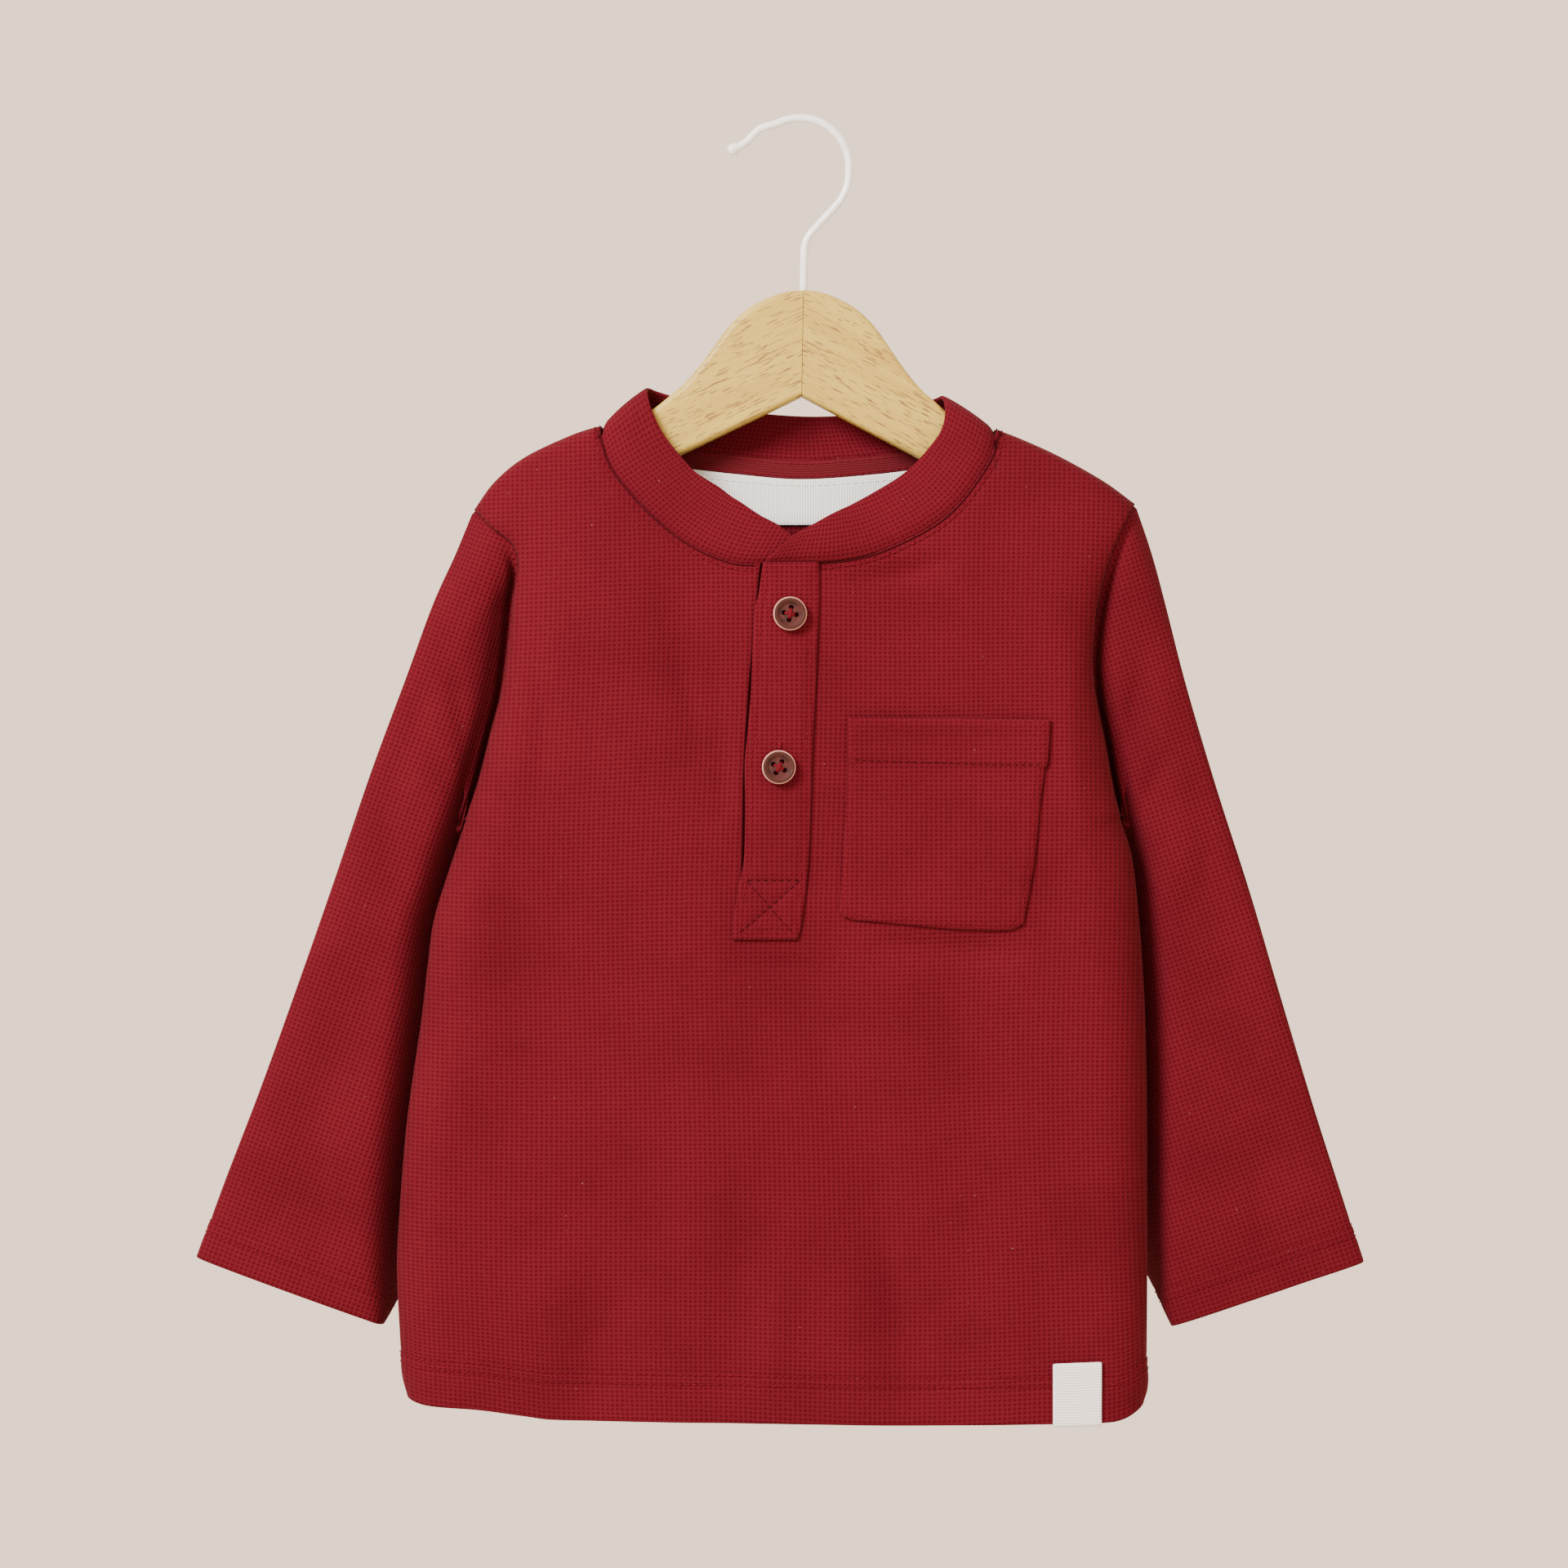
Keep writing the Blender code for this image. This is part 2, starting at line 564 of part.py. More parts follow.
def panel_halves(neck_left, neck_right, inner_left, inner_right, hem_table):
    hem = smooth_curve(hem_table)
    plan = [smooth_curve([row[:2] for row in table]) for table in (ARMHOLE_LEFT, ARMHOLE_RIGHT)]
    sides = [smooth_curve(table) for table in (SIDE_LEFT, SIDE_RIGHT)]
    halves = []
    for index, (neck, inner, shoulder) in enumerate(
        [
            (neck_left, inner_left, smooth_curve(SHOULDER_LEFT)),
            (neck_right, inner_right, smooth_curve(SHOULDER_RIGHT)[::-1]),
        ]
    ):
        foot_x = inner[-1][0]
        share = hem_fraction(hem, foot_x)
        hem_z = float(np.interp(foot_x, hem[:, 0], hem[:, 1]))
        foot = np.asarray([inner[-1], (foot_x, hem_z)])
        halves.append(
            half_panel(
                neck, shoulder, plan[index], sides[index], inner, foot, hem, float(index), share
            )
        )
    return halves


def front_panel(group):
    left, right = panel_halves(
        smooth_curve(NECK_LEFT),
        smooth_curve(NECK_RIGHT)[::-1],
        smooth_curve(OPENING_LEFT),
        smooth_curve(OPENING_RIGHT),
        FRONT_HEM,
    )
    between = [
        left[:, -1] + (right[:, -1] - left[:, -1]) * k / OPENING_COLUMNS
        for k in range(1, OPENING_COLUMNS)
    ]
    plan = np.concatenate([left, np.stack(between, axis=1), right[:, ::-1]], axis=1)
    opening = {
        (row, left.shape[1] - 1 + column)
        for row in range(len(UPPER_ROWS) - 1)
        for column in range(OPENING_COLUMNS)
    }
    return sheet("front", on_panel(plan, "front"), CLOTH, "knit", group, skip=opening, flip=True)


def back_panel(group):
    neck_left, neck_right = back_neck_halves()
    centre = np.asarray([neck_left[-1], (neck_left[-1, 0], BACK_WAIST_Z)])
    left, right = panel_halves(neck_left, neck_right, centre, centre, BACK_HEM)
    plan = np.concatenate([left, right[:, -2::-1]], axis=1)
    return sheet("back", on_panel(plan, "back"), CLOTH, "knit", group)


def neck_points(table, shares):
    return resample(smooth_curve(table), shares)


def back_neck_halves():
    """The back neckline's two halves, each from its neck point to the middle."""
    neck = smooth_curve(NECK_BACK)
    middle = int(np.argmin(np.abs(neck[:, 0])))
    return neck[: middle + 1], neck[middle:][::-1]


def top_points(table, plan):
    """The collar's top edge above each point of plan, from the table's nearest rows."""
    fine = smooth_curve(table)
    tops = []
    for x, z in plan:
        nearest = np.argmin(np.hypot(fine[:, 0] - x, fine[:, 1] - z))
        tops.append(fine[nearest, [2, 4, 3]])
    return np.asarray(tops)


def collar_band(group):
    """The band round the neck, on the same points as the panels' necklines."""
    lift = CLOTH + GAP
    right = neck_points(NECK_RIGHT, 1 - NECK_SHARES[::-1])
    settled = ease(1 - np.linspace(0, 1, len(right)) / COLLAR_LIFT_SHARE)
    left = neck_points(NECK_LEFT, NECK_SHARES)
    back_left, back_right = (resample(half, NECK_SHARES) for half in back_neck_halves())
    lap_over = np.asarray(COLLAR_LAP_OVER)
    lap_under = np.asarray(COLLAR_LAP_UNDER)
    seam = [on_panel(lap_over[:, :2], "front", lift), on_panel(right, "front")]
    seam[1][:, 1] -= lift * settled
    seam[1][-1, 1] = 0.0
    back = np.vstack([back_right[1:], back_left[-2::-1]])
    seam.append(on_panel(back, "back"))
    seam[2][-1, 1] = 0.0
    seam += [on_panel(left[1:], "front"), on_panel(lap_under[:, :2], "front")]
    top = [
        lap_over[:, [2, 4, 3]],
        top_points(COLLAR_RIGHT, right),
        top_points(COLLAR_BACK, back),
        top_points(COLLAR_LEFT, left[1:]),
        lap_under[:, [2, 4, 3]],
    ]
    seam, top = np.vstack(seam), np.vstack(top)
    up = (top - seam) / np.linalg.norm(top - seam, axis=1)[:, None]
    foot = seam + up * COLLAR_FOOT
    around = np.gradient(seam, axis=0)
    out = np.cross(around, up)
    out /= np.linalg.norm(out, axis=1)[:, None]
    levels = np.linspace(0, 1, COLLAR_LEVELS)
    grid = np.stack(
        [foot + (top - foot) * t + out * COLLAR_BULGE * math.sin(math.pi * t) for t in levels]
    )
    return sheet("collar", grid, CLOTH, "knit", group)


def strip(rows, columns, steps=2):
    """Plan grid of a strip given as rows of z, left x, right x."""
    fine = smooth_curve(rows, steps)
    t = np.linspace(0, 1, columns + 1)[None, :]
    x = fine[:, 1:2] + (fine[:, 2:3] - fine[:, 1:2]) * t
    return np.stack([x, np.repeat(fine[:, 0:1], columns + 1, axis=1)], axis=-1)


def placket_top(group):
    plan = strip(PLACKET, 3)
    return sheet("placket", on_panel(plan, "front", CLOTH + GAP), CLOTH, "knit", group, flip=True)


def placket_under(group):
    rows = [
        (left[1] - 3 * GAP, left[0] - UNDER_PLACKET_REACH, right[0] + UNDER_PLACKET_REACH)
        for left, right in zip(OPENING_LEFT, OPENING_RIGHT)
    ]
    inside = on_panel(strip(rows, 4, 5), "front", -CLOTH - 1.5 * GAP)
    return sheet("placket_under", inside, CLOTH, "knit", group, flip=True)


def pocket(group):
    us = np.linspace(0, 1, POCKET_COLUMNS + 1)
    hem = POCKET_HEM / (POCKET_TOP[0][1] - POCKET_LEFT[-1][1])
    vs = np.concatenate([[0, hem], np.linspace(hem + POCKET_HEM_EASE, 1, POCKET_ROWS + 1)])
    edges = [
        resample(smooth_curve(table), fractions)
        for table, fractions in (
            (POCKET_TOP, us), (POCKET_BOTTOM, us), (POCKET_LEFT, vs), (POCKET_RIGHT, vs),
        )
    ]
    grid = on_panel(patch(*edges, us, vs), "front", CLOTH + GAP)
    grid[:2, :, 1] -= POCKET_HEM_STEP
    return sheet("pocket", grid, CLOTH, "knit", group, flip=True)


def neck_tape(group):
    neck = smooth_curve(NECK_BACK)
    xs = np.linspace(-TAPE_HALF_WIDTH, TAPE_HALF_WIDTH, 17)
    seam_z = np.interp(xs, neck[:, 0], neck[:, 1]) - 3 * GAP
    plan = np.stack([np.stack([xs, seam_z - t * TAPE_HEIGHT], axis=-1) for t in (0.0, 0.5, 1.0)])
    inside = on_panel(plan, "back", -CLOTH - GAP)
    return sheet("neck_tape", inside, WOVEN, "tape", group)


def neck_label(group):
    neck = smooth_curve(NECK_BACK)
    xs = np.linspace(-NECK_LABEL_HALF_WIDTH, NECK_LABEL_HALF_WIDTH, 11)
    head_z = np.interp(xs, neck[:, 0], neck[:, 1]) - TAPE_HEIGHT - 4 * GAP
    foot_z = np.full(xs.shape, NECK_LABEL_FOOT_Z)
    plan = np.stack(
        [np.stack([xs, head_z + (foot_z - head_z) * t], axis=-1) for t in LABEL_ROWS]
    )
    return sheet("neck_label", on_panel(plan, "back", -CLOTH - GAP), WOVEN, "label", group)


def hem_label(group):
    """A strip folded round the hem's edge, longer in front than inside."""
    hem = smooth_curve(FRONT_HEM)
    xs = np.linspace(HEM_LABEL_LEFT, HEM_LABEL_RIGHT, 4)
    edge_z = np.interp(xs, hem[:, 0], hem[:, 1])
    outer = GAP + WOVEN
    deep = CLOTH + outer
    below, bevel = HEM_LABEL_BEND
    # How far above the hem's edge, and how far out of the panel's face
    runs = [
        (HEM_LABEL_TOP_Z - edge_z, outer),
        ((HEM_LABEL_TOP_Z - edge_z) / 2, outer),
        (HEM_LABEL_BEND_FROM, outer),
        (-below, outer - bevel),
        (-outer, 0.0),
        (-outer, -CLOTH),
        (-below, bevel - deep),
        (HEM_LABEL_BEND_FROM, -deep),
        (HEM_LABEL_INSIDE, -deep),
    ]
    grid = []
    for above, lift in runs:
        z = edge_z + above
        y = panel_y(xs, np.maximum(z, edge_z), "front") - lift
        grid.append(np.stack([xs, y, z], axis=-1))
    return sheet("hem_label", np.stack(grid), WOVEN, "label", group, flip=True)


# Sleeves


def body_side(x, z, side):
    """How far x, z lies inside the body's side edge, negative outside it."""
    tables = {"left": (ARMHOLE_LEFT, SIDE_LEFT, 1), "right": (ARMHOLE_RIGHT, SIDE_RIGHT, -1)}
    armhole, seam, inward = tables[side]
    line = np.vstack([smooth_curve([row[:2] for row in armhole]), smooth_curve(seam)[1:]])
    edge_x = np.interp(-z, -line[:, 1], line[:, 0])
    return (x - edge_x) * inward


def armhole_ring(side, across):
    """The armhole's front edge from the shoulder down, and its back edge."""
    table = ARMHOLE_LEFT if side == "left" else ARMHOLE_RIGHT
    hole = resample(smooth_curve(table), across)
    front = np.stack([hole[:, 0], hole[:, 2], hole[:, 1]], axis=-1)
    back = np.stack([hole[:, 0], hole[:, 3], hole[:, 1]], axis=-1)
    return front, back


def sleeve(side, group):
    """A tube from the armhole to the cuff that swings behind the body's side below the underarm."""
    table = SLEEVE_LEFT if side == "left" else SLEEVE_RIGHT
    inward = 1 if side == "left" else -1
    across = 0.5 - 0.5 * np.cos(np.linspace(0, math.pi, SLEEVE_COLUMNS + 1))
    hole_front, hole_back = armhole_ring(side, across)
    bow = hole_front - hole_front[0] - (hole_front[-1] - hole_front[0]) * across[:, None]
    shape = (1 - np.abs(2 * across - 1) ** SLEEVE_POWER) ** (1 / SLEEVE_POWER)

    way = np.gradient(hole_front[:, [0, 2]], axis=0)
    way /= np.linalg.norm(way, axis=1)[:, None]
    parting = SLEEVE_PARTING * inward * np.stack([way[:, 1], 0 * way[:, 0], -way[:, 0]], axis=-1)
    rings = [np.vstack([hole_front + parting, (hole_back + parting)[-2:0:-1]])]

    for outer_x, outer_z, inner_x, inner_z, half, own in smooth_curve(table, 2)[1:]:
        own = max(own, 0.0)
        x = outer_x + (inner_x - outer_x) * across + bow[:, 0] * own
        z = outer_z + (inner_z - outer_z) * across + bow[:, 2] * own
        inside = body_side(x, z, side)
        behind = ease((inside - SLEEVE_STEP_FROM) / (SLEEVE_STEP_TO - SLEEVE_STEP_FROM))
        middle = SLEEVE_OUTER_Y[side] * ease(1 - own) * np.minimum(1, SLEEVE_EDGE_RISE * across)
        middle = middle + (SLEEVE_BEHIND_Y - middle) * behind
        folds = fold_depth(x, z, SLEEVE_FOLDS[side]) * shape
        front_y = hole_front[:, 1] * own + (middle - half * shape + folds) * (1 - own)
        back_y = hole_back[:, 1] * own + (middle + half * shape + folds / 2) * (1 - own)
        clear_y = panel_y(x + inward * SLEEVE_MARGIN, z, "back") + SLEEVE_CLEAR
        front_y = np.where(inside > -SLEEVE_MARGIN, np.maximum(front_y, clear_y), front_y)
        back_y = np.maximum(back_y, front_y + SLEEVE_LEAST * shape * (1 - own))
        front = np.stack([x, front_y, z], axis=-1)
        back = np.stack([x, back_y, z], axis=-1)
        rings.append(np.vstack([front, back[-2:0:-1]]))
    name = f"sleeve_{side}"
    return sheet(name, np.stack(rings), CLOTH, "knit", group, closed=True, flip=side == "left")


# Hard pieces


def mesh_from_curve(curve_object, group):
    """The curve's evaluated mesh as a new object in its place, with its caps welded."""
    bpy.context.view_layer.update()
    evaluated = curve_object.evaluated_get(bpy.context.evaluated_depsgraph_get())
    mesh = bpy.data.meshes.new_from_object(evaluated)
    made = bpy.data.objects.new(curve_object.name, mesh)
    made.matrix_world = curve_object.matrix_world
    name = curve_object.name
    bpy.data.objects.remove(curve_object, do_unlink=True)
    made.name = name
    group.objects.link(made)
    work = bmesh.new()
    work.from_mesh(mesh)
    bmesh.ops.remove_doubles(work, verts=work.verts, dist=WELD)
    bmesh.ops.recalc_face_normals(work, faces=work.faces)
    work.to_mesh(mesh)
    work.free()
    return made


def curve_object(name, points, group, radii=None):
    data = bpy.data.curves.new(name, "CURVE")
    spline = data.splines.new("POLY")
    spline.points.add(len(points) - 1)
    for index, (point, place) in enumerate(zip(spline.points, points)):
        point.co = (*(c * MM for c in place), 1.0)
        if radii is not None:
            point.radius = radii[index]
    made = bpy.data.objects.new(name, data)
    group.objects.link(made)
    return made


def arm_outline():
    """One arm's outline, x outwards from the mitre, as x, z pairs."""
    mitre = GAP / 2
    top = smooth_curve([(mitre, ARM_CROWN_Z), *ARM_TOP], 1)
    tip_x, tip_z = top[-1]
    slope = math.atan(ARM_UNDER_SLOPE)
    fall = math.atan2(top[-2, 1] - tip_z, tip_x - top[-2, 0])
    centre_x = tip_x - ARM_END_RADIUS * math.sin(fall)
    centre_z = tip_z - ARM_END_RADIUS * math.cos(fall)
    turns = np.linspace(math.pi / 2 - fall, -math.pi / 2 - slope, 9)[1:]
    end = [
        (centre_x + ARM_END_RADIUS * math.cos(a), centre_z + ARM_END_RADIUS * math.sin(a))
        for a in turns
    ]
    under = [(mitre + 0.0, ARM_UNDER_Z)]
    return [*map(tuple, top), *end, *under]


def hanger_arm(side, group, cutters):
    name = f"hanger_arm_{side}"
    sign = -1 if side == "left" else 1
    outline = [(STEM_X + sign * x, z, 0.0) for x, z in arm_outline()]
    shape = curve_object(name, outline, group)
    shape.data.dimensions = "2D"
    shape.data.fill_mode = "BOTH"
    shape.data.extrude = ARM_THICK / 2 * MM
    shape.data.splines[0].use_cyclic_u = True
    arm = mesh_from_curve(shape, group)
    mesh = arm.data
    for vertex in mesh.vertices:
        x, z, y = vertex.co
        vertex.co = (x, -y, z)
    work = bmesh.new()
    work.from_mesh(mesh)
    bmesh.ops.dissolve_limit(work, angle_limit=0.01, verts=work.verts, edges=work.edges)
    bmesh.ops.recalc_face_normals(work, faces=work.faces)
    weight = work.edges.layers.float.new("bevel_weight_edge")
    near_mitre = GAP * MM
    for edge in work.edges:
        along_face = abs(edge.verts[0].co.y - edge.verts[1].co.y) < near_mitre / 2
        at_mitre = all(abs(v.co.x - STEM_X * MM) < near_mitre for v in edge.verts)
        edge[weight] = float(along_face and not at_mitre)
    work.to_mesh(mesh)
    work.free()
    mesh.materials.clear()
    mesh.materials.append(material("wood"))
    mesh.shade_smooth()
    rounding = arm.modifiers.new("rounding", "BEVEL")
    rounding.width = ARM_ROUND * MM
    rounding.segments = 2
    rounding.limit_method = "WEIGHT"
    bore = arm.modifiers.new("bore", "BOOLEAN")
    bore.operation = "DIFFERENCE"
    bore.object = cutters.objects["stem_bore"]
    arm.rotation_euler = (0.0, TILT, 0.0)
    return arm


def stem_bore(cutters):
    """Cutter for the hook's hole in the crown."""
    top = ARM_CROWN_Z + 6.0
    bpy.ops.mesh.primitive_cylinder_add(
        vertices=12,
        radius=(WIRE / 2 + GAP) * MM,
        depth=(top - BORE_DEPTH_Z) * MM,
        location=(STEM_X * MM, 0.0, (top + BORE_DEPTH_Z) / 2 * MM),
    )
    cutter = bpy.context.object
    cutter.name = "stem_bore"
    for other in list(cutter.users_collection):
        other.objects.unlink(cutter)
    cutters.objects.link(cutter)
    # The bore leans with the hanger
    cutter.matrix_world = Matrix.Rotation(TILT, 4, "Y") @ cutter.matrix_world
    cutter.hide_render = True
    cutter.display_type = "WIRE"
    return cutter


def arc(centre, radius, from_degrees, to_degrees, steps):
    angles = np.radians(np.linspace(from_degrees, to_degrees, steps + 1))
    return [(centre[0] + radius * math.cos(a), centre[1] + radius * math.sin(a)) for a in angles]


def hook(group):
    """The hook's wire from its ball tip, over the top and down into the crown."""
    inner = HOOK_RADIUS - WIRE / 2
    centre = (0.0, -inner)
    lower = (0.0, -inner - HOOK_DROP)
    over = arc(centre, HOOK_RADIUS, HOOK_TIP_ANGLE, 0.0, HOOK_ARC_STEPS)
    under = arc(lower, HOOK_RADIUS, 0.0, HOOK_FOOT_ANGLE, HOOK_ARC_STEPS // 3)
    tip_turn = math.radians(HOOK_TIP_ANGLE)
    tip_way = (-math.sin(tip_turn), math.cos(tip_turn))
    ball = [HOOK_TIP_RUN + past for past, _ in HOOK_BALL]
    runs = [*reversed(ball), HOOK_TIP_RUN, HOOK_TIP_RUN * 2 / 3, HOOK_TIP_RUN / 3]
    tip = [(over[0][0] + tip_way[0] * run, over[0][1] + tip_way[1] * run) for run in runs]
    foot_turn = math.radians(HOOK_FOOT_ANGLE)
    foot_way = (math.sin(foot_turn), -math.cos(foot_turn))
    bend_x = STEM_X + HOOK_NECK_RADIUS * (1 + foot_way[1])
    run = (bend_x - under[-1][0]) / foot_way[0]
    bend = (bend_x, under[-1][1] + foot_way[1] * run)
    middle = (STEM_X + HOOK_NECK_RADIUS, bend[1] + foot_way[0] * HOOK_NECK_RADIUS)
    neck = arc(middle, HOOK_NECK_RADIUS, 180.0 + HOOK_FOOT_ANGLE, 180.0, 5)
    stem = [(STEM_X, neck[-1][1] - 12.0), (STEM_X, HOOK_STEM_FOOT_Z)]
    line = [*tip, *over, *under[1:], *neck, *stem]
    radii = [share for _, share in reversed(HOOK_BALL)]
    radii += [1.0] * (len(line) - len(radii))
    wire = curve_object("hook", [(x, 0.0, z) for x, z in line], group, radii)
    wire.data.dimensions = "3D"
    wire.data.bevel_depth = WIRE / 2 * MM
    wire.data.bevel_resolution = 2
    wire.data.use_fill_caps = True
    wire.rotation_euler = (0.0, TILT, 0.0)
    made = mesh_from_curve(wire, group)
    made.data.materials.clear()
    made.data.materials.append(material("wire"))
    made.data.shade_smooth()
    return made


def button(name, group, cutters):
    """A turned disc with a rim, a shallow dish and four holes, flat on the placket."""
    x, z, turn = BUTTONS[name]
    seat_y = float(panel_y(x, z, "front")) - (CLOTH + 2 * GAP) - GAP
    mesh = bpy.data.meshes.new(name)
    profile = [(radius * MM, 0, height * MM) for radius, height in BUTTON_SECTION]
    mesh.from_pydata(profile, [(i, i + 1) for i in range(len(profile) - 1)], [])
    mesh.materials.append(material("button"))
    made = bpy.data.objects.new(name, mesh)
    group.objects.link(made)
    made.location = (x * MM, seat_y * MM, z * MM)
    made.rotation_euler = (math.radians(90), math.radians(turn), 0.0)
    turned = made.modifiers.new("turned", "SCREW")
    turned.steps = BUTTON_SIDES
    turned.render_steps = BUTTON_SIDES
    turned.use_merge_vertices = True
    turned.merge_threshold = WELD
    turned.use_normal_calculate = True
    bpy.context.view_layer.update()
    drill = bmesh.new()
    for quarter in range(4):
        angle = math.pi / 2 * quarter
        made_hole = bmesh.ops.create_cone(
            drill,
            cap_ends=True,
            segments=BUTTON_HOLE_SIDES,
            radius1=BUTTON_HOLE_RADIUS * MM,
            radius2=BUTTON_HOLE_RADIUS * MM,
            depth=3 * BUTTON_THICK * MM,
        )
        away = BUTTON_HOLE_RING * MM
        shift = (away * math.cos(angle), away * math.sin(angle), BUTTON_THICK / 2 * MM)
        bmesh.ops.translate(drill, verts=made_hole["verts"], vec=shift)
    drill_mesh = bpy.data.meshes.new(f"{name}_drill")
    drill.to_mesh(drill_mesh)
    drill.free()
    cutter = bpy.data.objects.new(f"{name}_drill", drill_mesh)
    cutters.objects.link(cutter)
    cutter.matrix_world = made.matrix_world
    cutter.hide_render = True
    cutter.display_type = "WIRE"
    holes = made.modifiers.new("holes", "BOOLEAN")
    holes.operation = "DIFFERENCE"
    holes.object = cutter
    return made


def main():
    clear_scene()
    top = collection("henley_top_on_hanger")
    cutters = collection("cutters")
    front_panel(top)
    back_panel(top)
    for side in ("left", "right"):
        sleeve(side, top)
    collar_band(top)
    placket_under(top)
    placket_top(top)
    pocket(top)
    neck_tape(top)
    neck_label(top)
    hem_label(top)
    for name in BUTTONS:
        button(name, top, cutters)
    stem_bore(cutters)
    for side in ("left", "right"):
        hanger_arm(side, top, cutters)
    hook(top)


main()
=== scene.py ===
"""The looks of a toddler's long-sleeved henley top on a wooden hanger with a wire hook.

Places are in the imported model's frame: the origin is the inner top of the hook, the front faces -Y,
+X is the viewer's right and +Z is up. Tables and named sizes are in millimetres, and each mesh is
made in metres. The cloth follows the same named form as the solids, with finer folds on it.
"""

import math

import bpy
import numpy as np
from mathutils import Euler, Matrix, Vector


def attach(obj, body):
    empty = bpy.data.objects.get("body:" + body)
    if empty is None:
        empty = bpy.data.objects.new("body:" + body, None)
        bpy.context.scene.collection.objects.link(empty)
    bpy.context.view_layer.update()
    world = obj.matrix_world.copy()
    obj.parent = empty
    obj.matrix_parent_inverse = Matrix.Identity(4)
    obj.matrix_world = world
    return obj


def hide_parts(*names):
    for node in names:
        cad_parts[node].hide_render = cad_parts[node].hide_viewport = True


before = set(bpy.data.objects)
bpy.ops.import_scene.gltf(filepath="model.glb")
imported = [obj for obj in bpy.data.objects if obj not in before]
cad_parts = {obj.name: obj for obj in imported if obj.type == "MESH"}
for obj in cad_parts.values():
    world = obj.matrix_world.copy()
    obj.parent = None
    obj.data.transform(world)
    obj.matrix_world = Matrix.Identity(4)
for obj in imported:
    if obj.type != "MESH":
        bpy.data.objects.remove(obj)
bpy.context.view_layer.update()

MM = 0.001
BODY = "root"
FINE = "_fine"  # ends the name of a piece that stands for a solid

# Cloth
CLOTH = 1.5  # knitted wall
WOVEN = 1.0  # tape and labels
GAP = 0.3  # between neighbouring pieces
SEAM_HALF = 0.3  # half the parting at the shoulder and side seams
RIDGE = 9.0  # half the cloth's depth over the hanger
RIDGE_DROP = 4.6  # how far below the shoulder line the ridge reaches that depth
FRONT_DEPTH = 18.0
BACK_DEPTH = 12.5
DRAPE_DROP = 62.0  # how far below the shoulder line the cloth reaches its full depth
SIDE_ROLL = 20.0  # width of the rounding at the sides
ROLL_POWER = 2.2
HEM_DRAW_IN = 0.18  # share of the depth that the body loses towards its hem
CHEST_Z = -345.0
HEM_Z = -492.0
BACK_WAIST_Z = -280.0
NECK_PLATEAU_Z = -113.5
PLATEAU_INSET = 6.0

# Shoulder line: x, z
SHOULDER_LEFT = [(-124, -147.1), (-116.2, -136.6), (-104.8, -127.3), (-87.1, -118.9), (-75.6, -115.2)]
SHOULDER_RIGHT = [(73.5, -116.4), (86.5, -121.7), (99.5, -127.8), (115, -136.6), (126.5, -144.9)]

# Armhole from the shoulder point to the underarm: x, z, front y, back y
ARMHOLE_LEFT = [
    (-124, -147.1, 0, 0), (-117.3, -154.1, -7.8, 7.8), (-112.4, -157.8, -9, 9.2),
    (-108.6, -161.5, -9.2, 10), (-106.8, -168.3, -8.6, 10.3), (-108.6, -179.8, -6, 10),
    (-110.5, -196.8, -3.2, 9.5), (-113.3, -215.7, -1.8, 9), (-117.3, -230.8, -2, 8.6),
    (-121.9, -248.8, -2.8, 8), (-125.4, -259.5, -2.8, 6.4), (-127, -264.4, -1.6, 3.6),
    (-127.5, -265.8, 0, 0),
]
ARMHOLE_RIGHT = [
    (126.5, -144.9, 0, 0), (123.8, -149.7, -6.6, 6.6), (120.1, -157.2, -9.4, 9.4),
    (116, -167.7, -9.6, 10.2), (113, -179.1, -8.4, 10.2), (111.1, -190.6, -7, 10),
    (110.2, -203.6, -5.6, 9.6), (111.6, -218, -4.2, 9.2), (115.3, -236, -2.8, 8),
    (118.2, -252.2, -2.6, 7.2), (120.4, -261, -2.4, 5.6), (121, -263.2, -1.5, 3.2), (121.1, -264.3, 0, 0),
]

# Side seam from the underarm to the hem: x, z
SIDE_LEFT = [
    (-127.5, -265.8), (-134.8, -287.5), (-139.6, -303.9), (-142, -322.5), (-144.2, -341.1),
    (-149.5, -378.3), (-152.2, -410), (-153.4, -434.1), (-152.2, -461.9), (-151.2, -475), (-149, -483.4),
]
SIDE_RIGHT = [
    (121.1, -264.3), (125.5, -278.5), (128, -299.3), (130.1, -329), (131.1, -360), (131.4, -403.1),
    (131.4, -440), (131.2, -467.2), (131.4, -479), (129.5, -486),
]

# Hem from the left side seam to the right one: x, z
FRONT_HEM = [
    (-149, -483.4), (-141.2, -485.2), (-122.5, -486.5), (-103.7, -489), (-91.1, -490.4), (-60, -491),
    (-25, -491.5), (30.4, -492.4), (70, -492.2), (110.4, -491.5), (121.5, -490.2), (129.5, -486),
]
BACK_HEM = [
    (-149, -483.4), (-120, -487), (-60, -489.5), (0, -490.5), (60, -490), (110, -489), (129.5, -486),
]

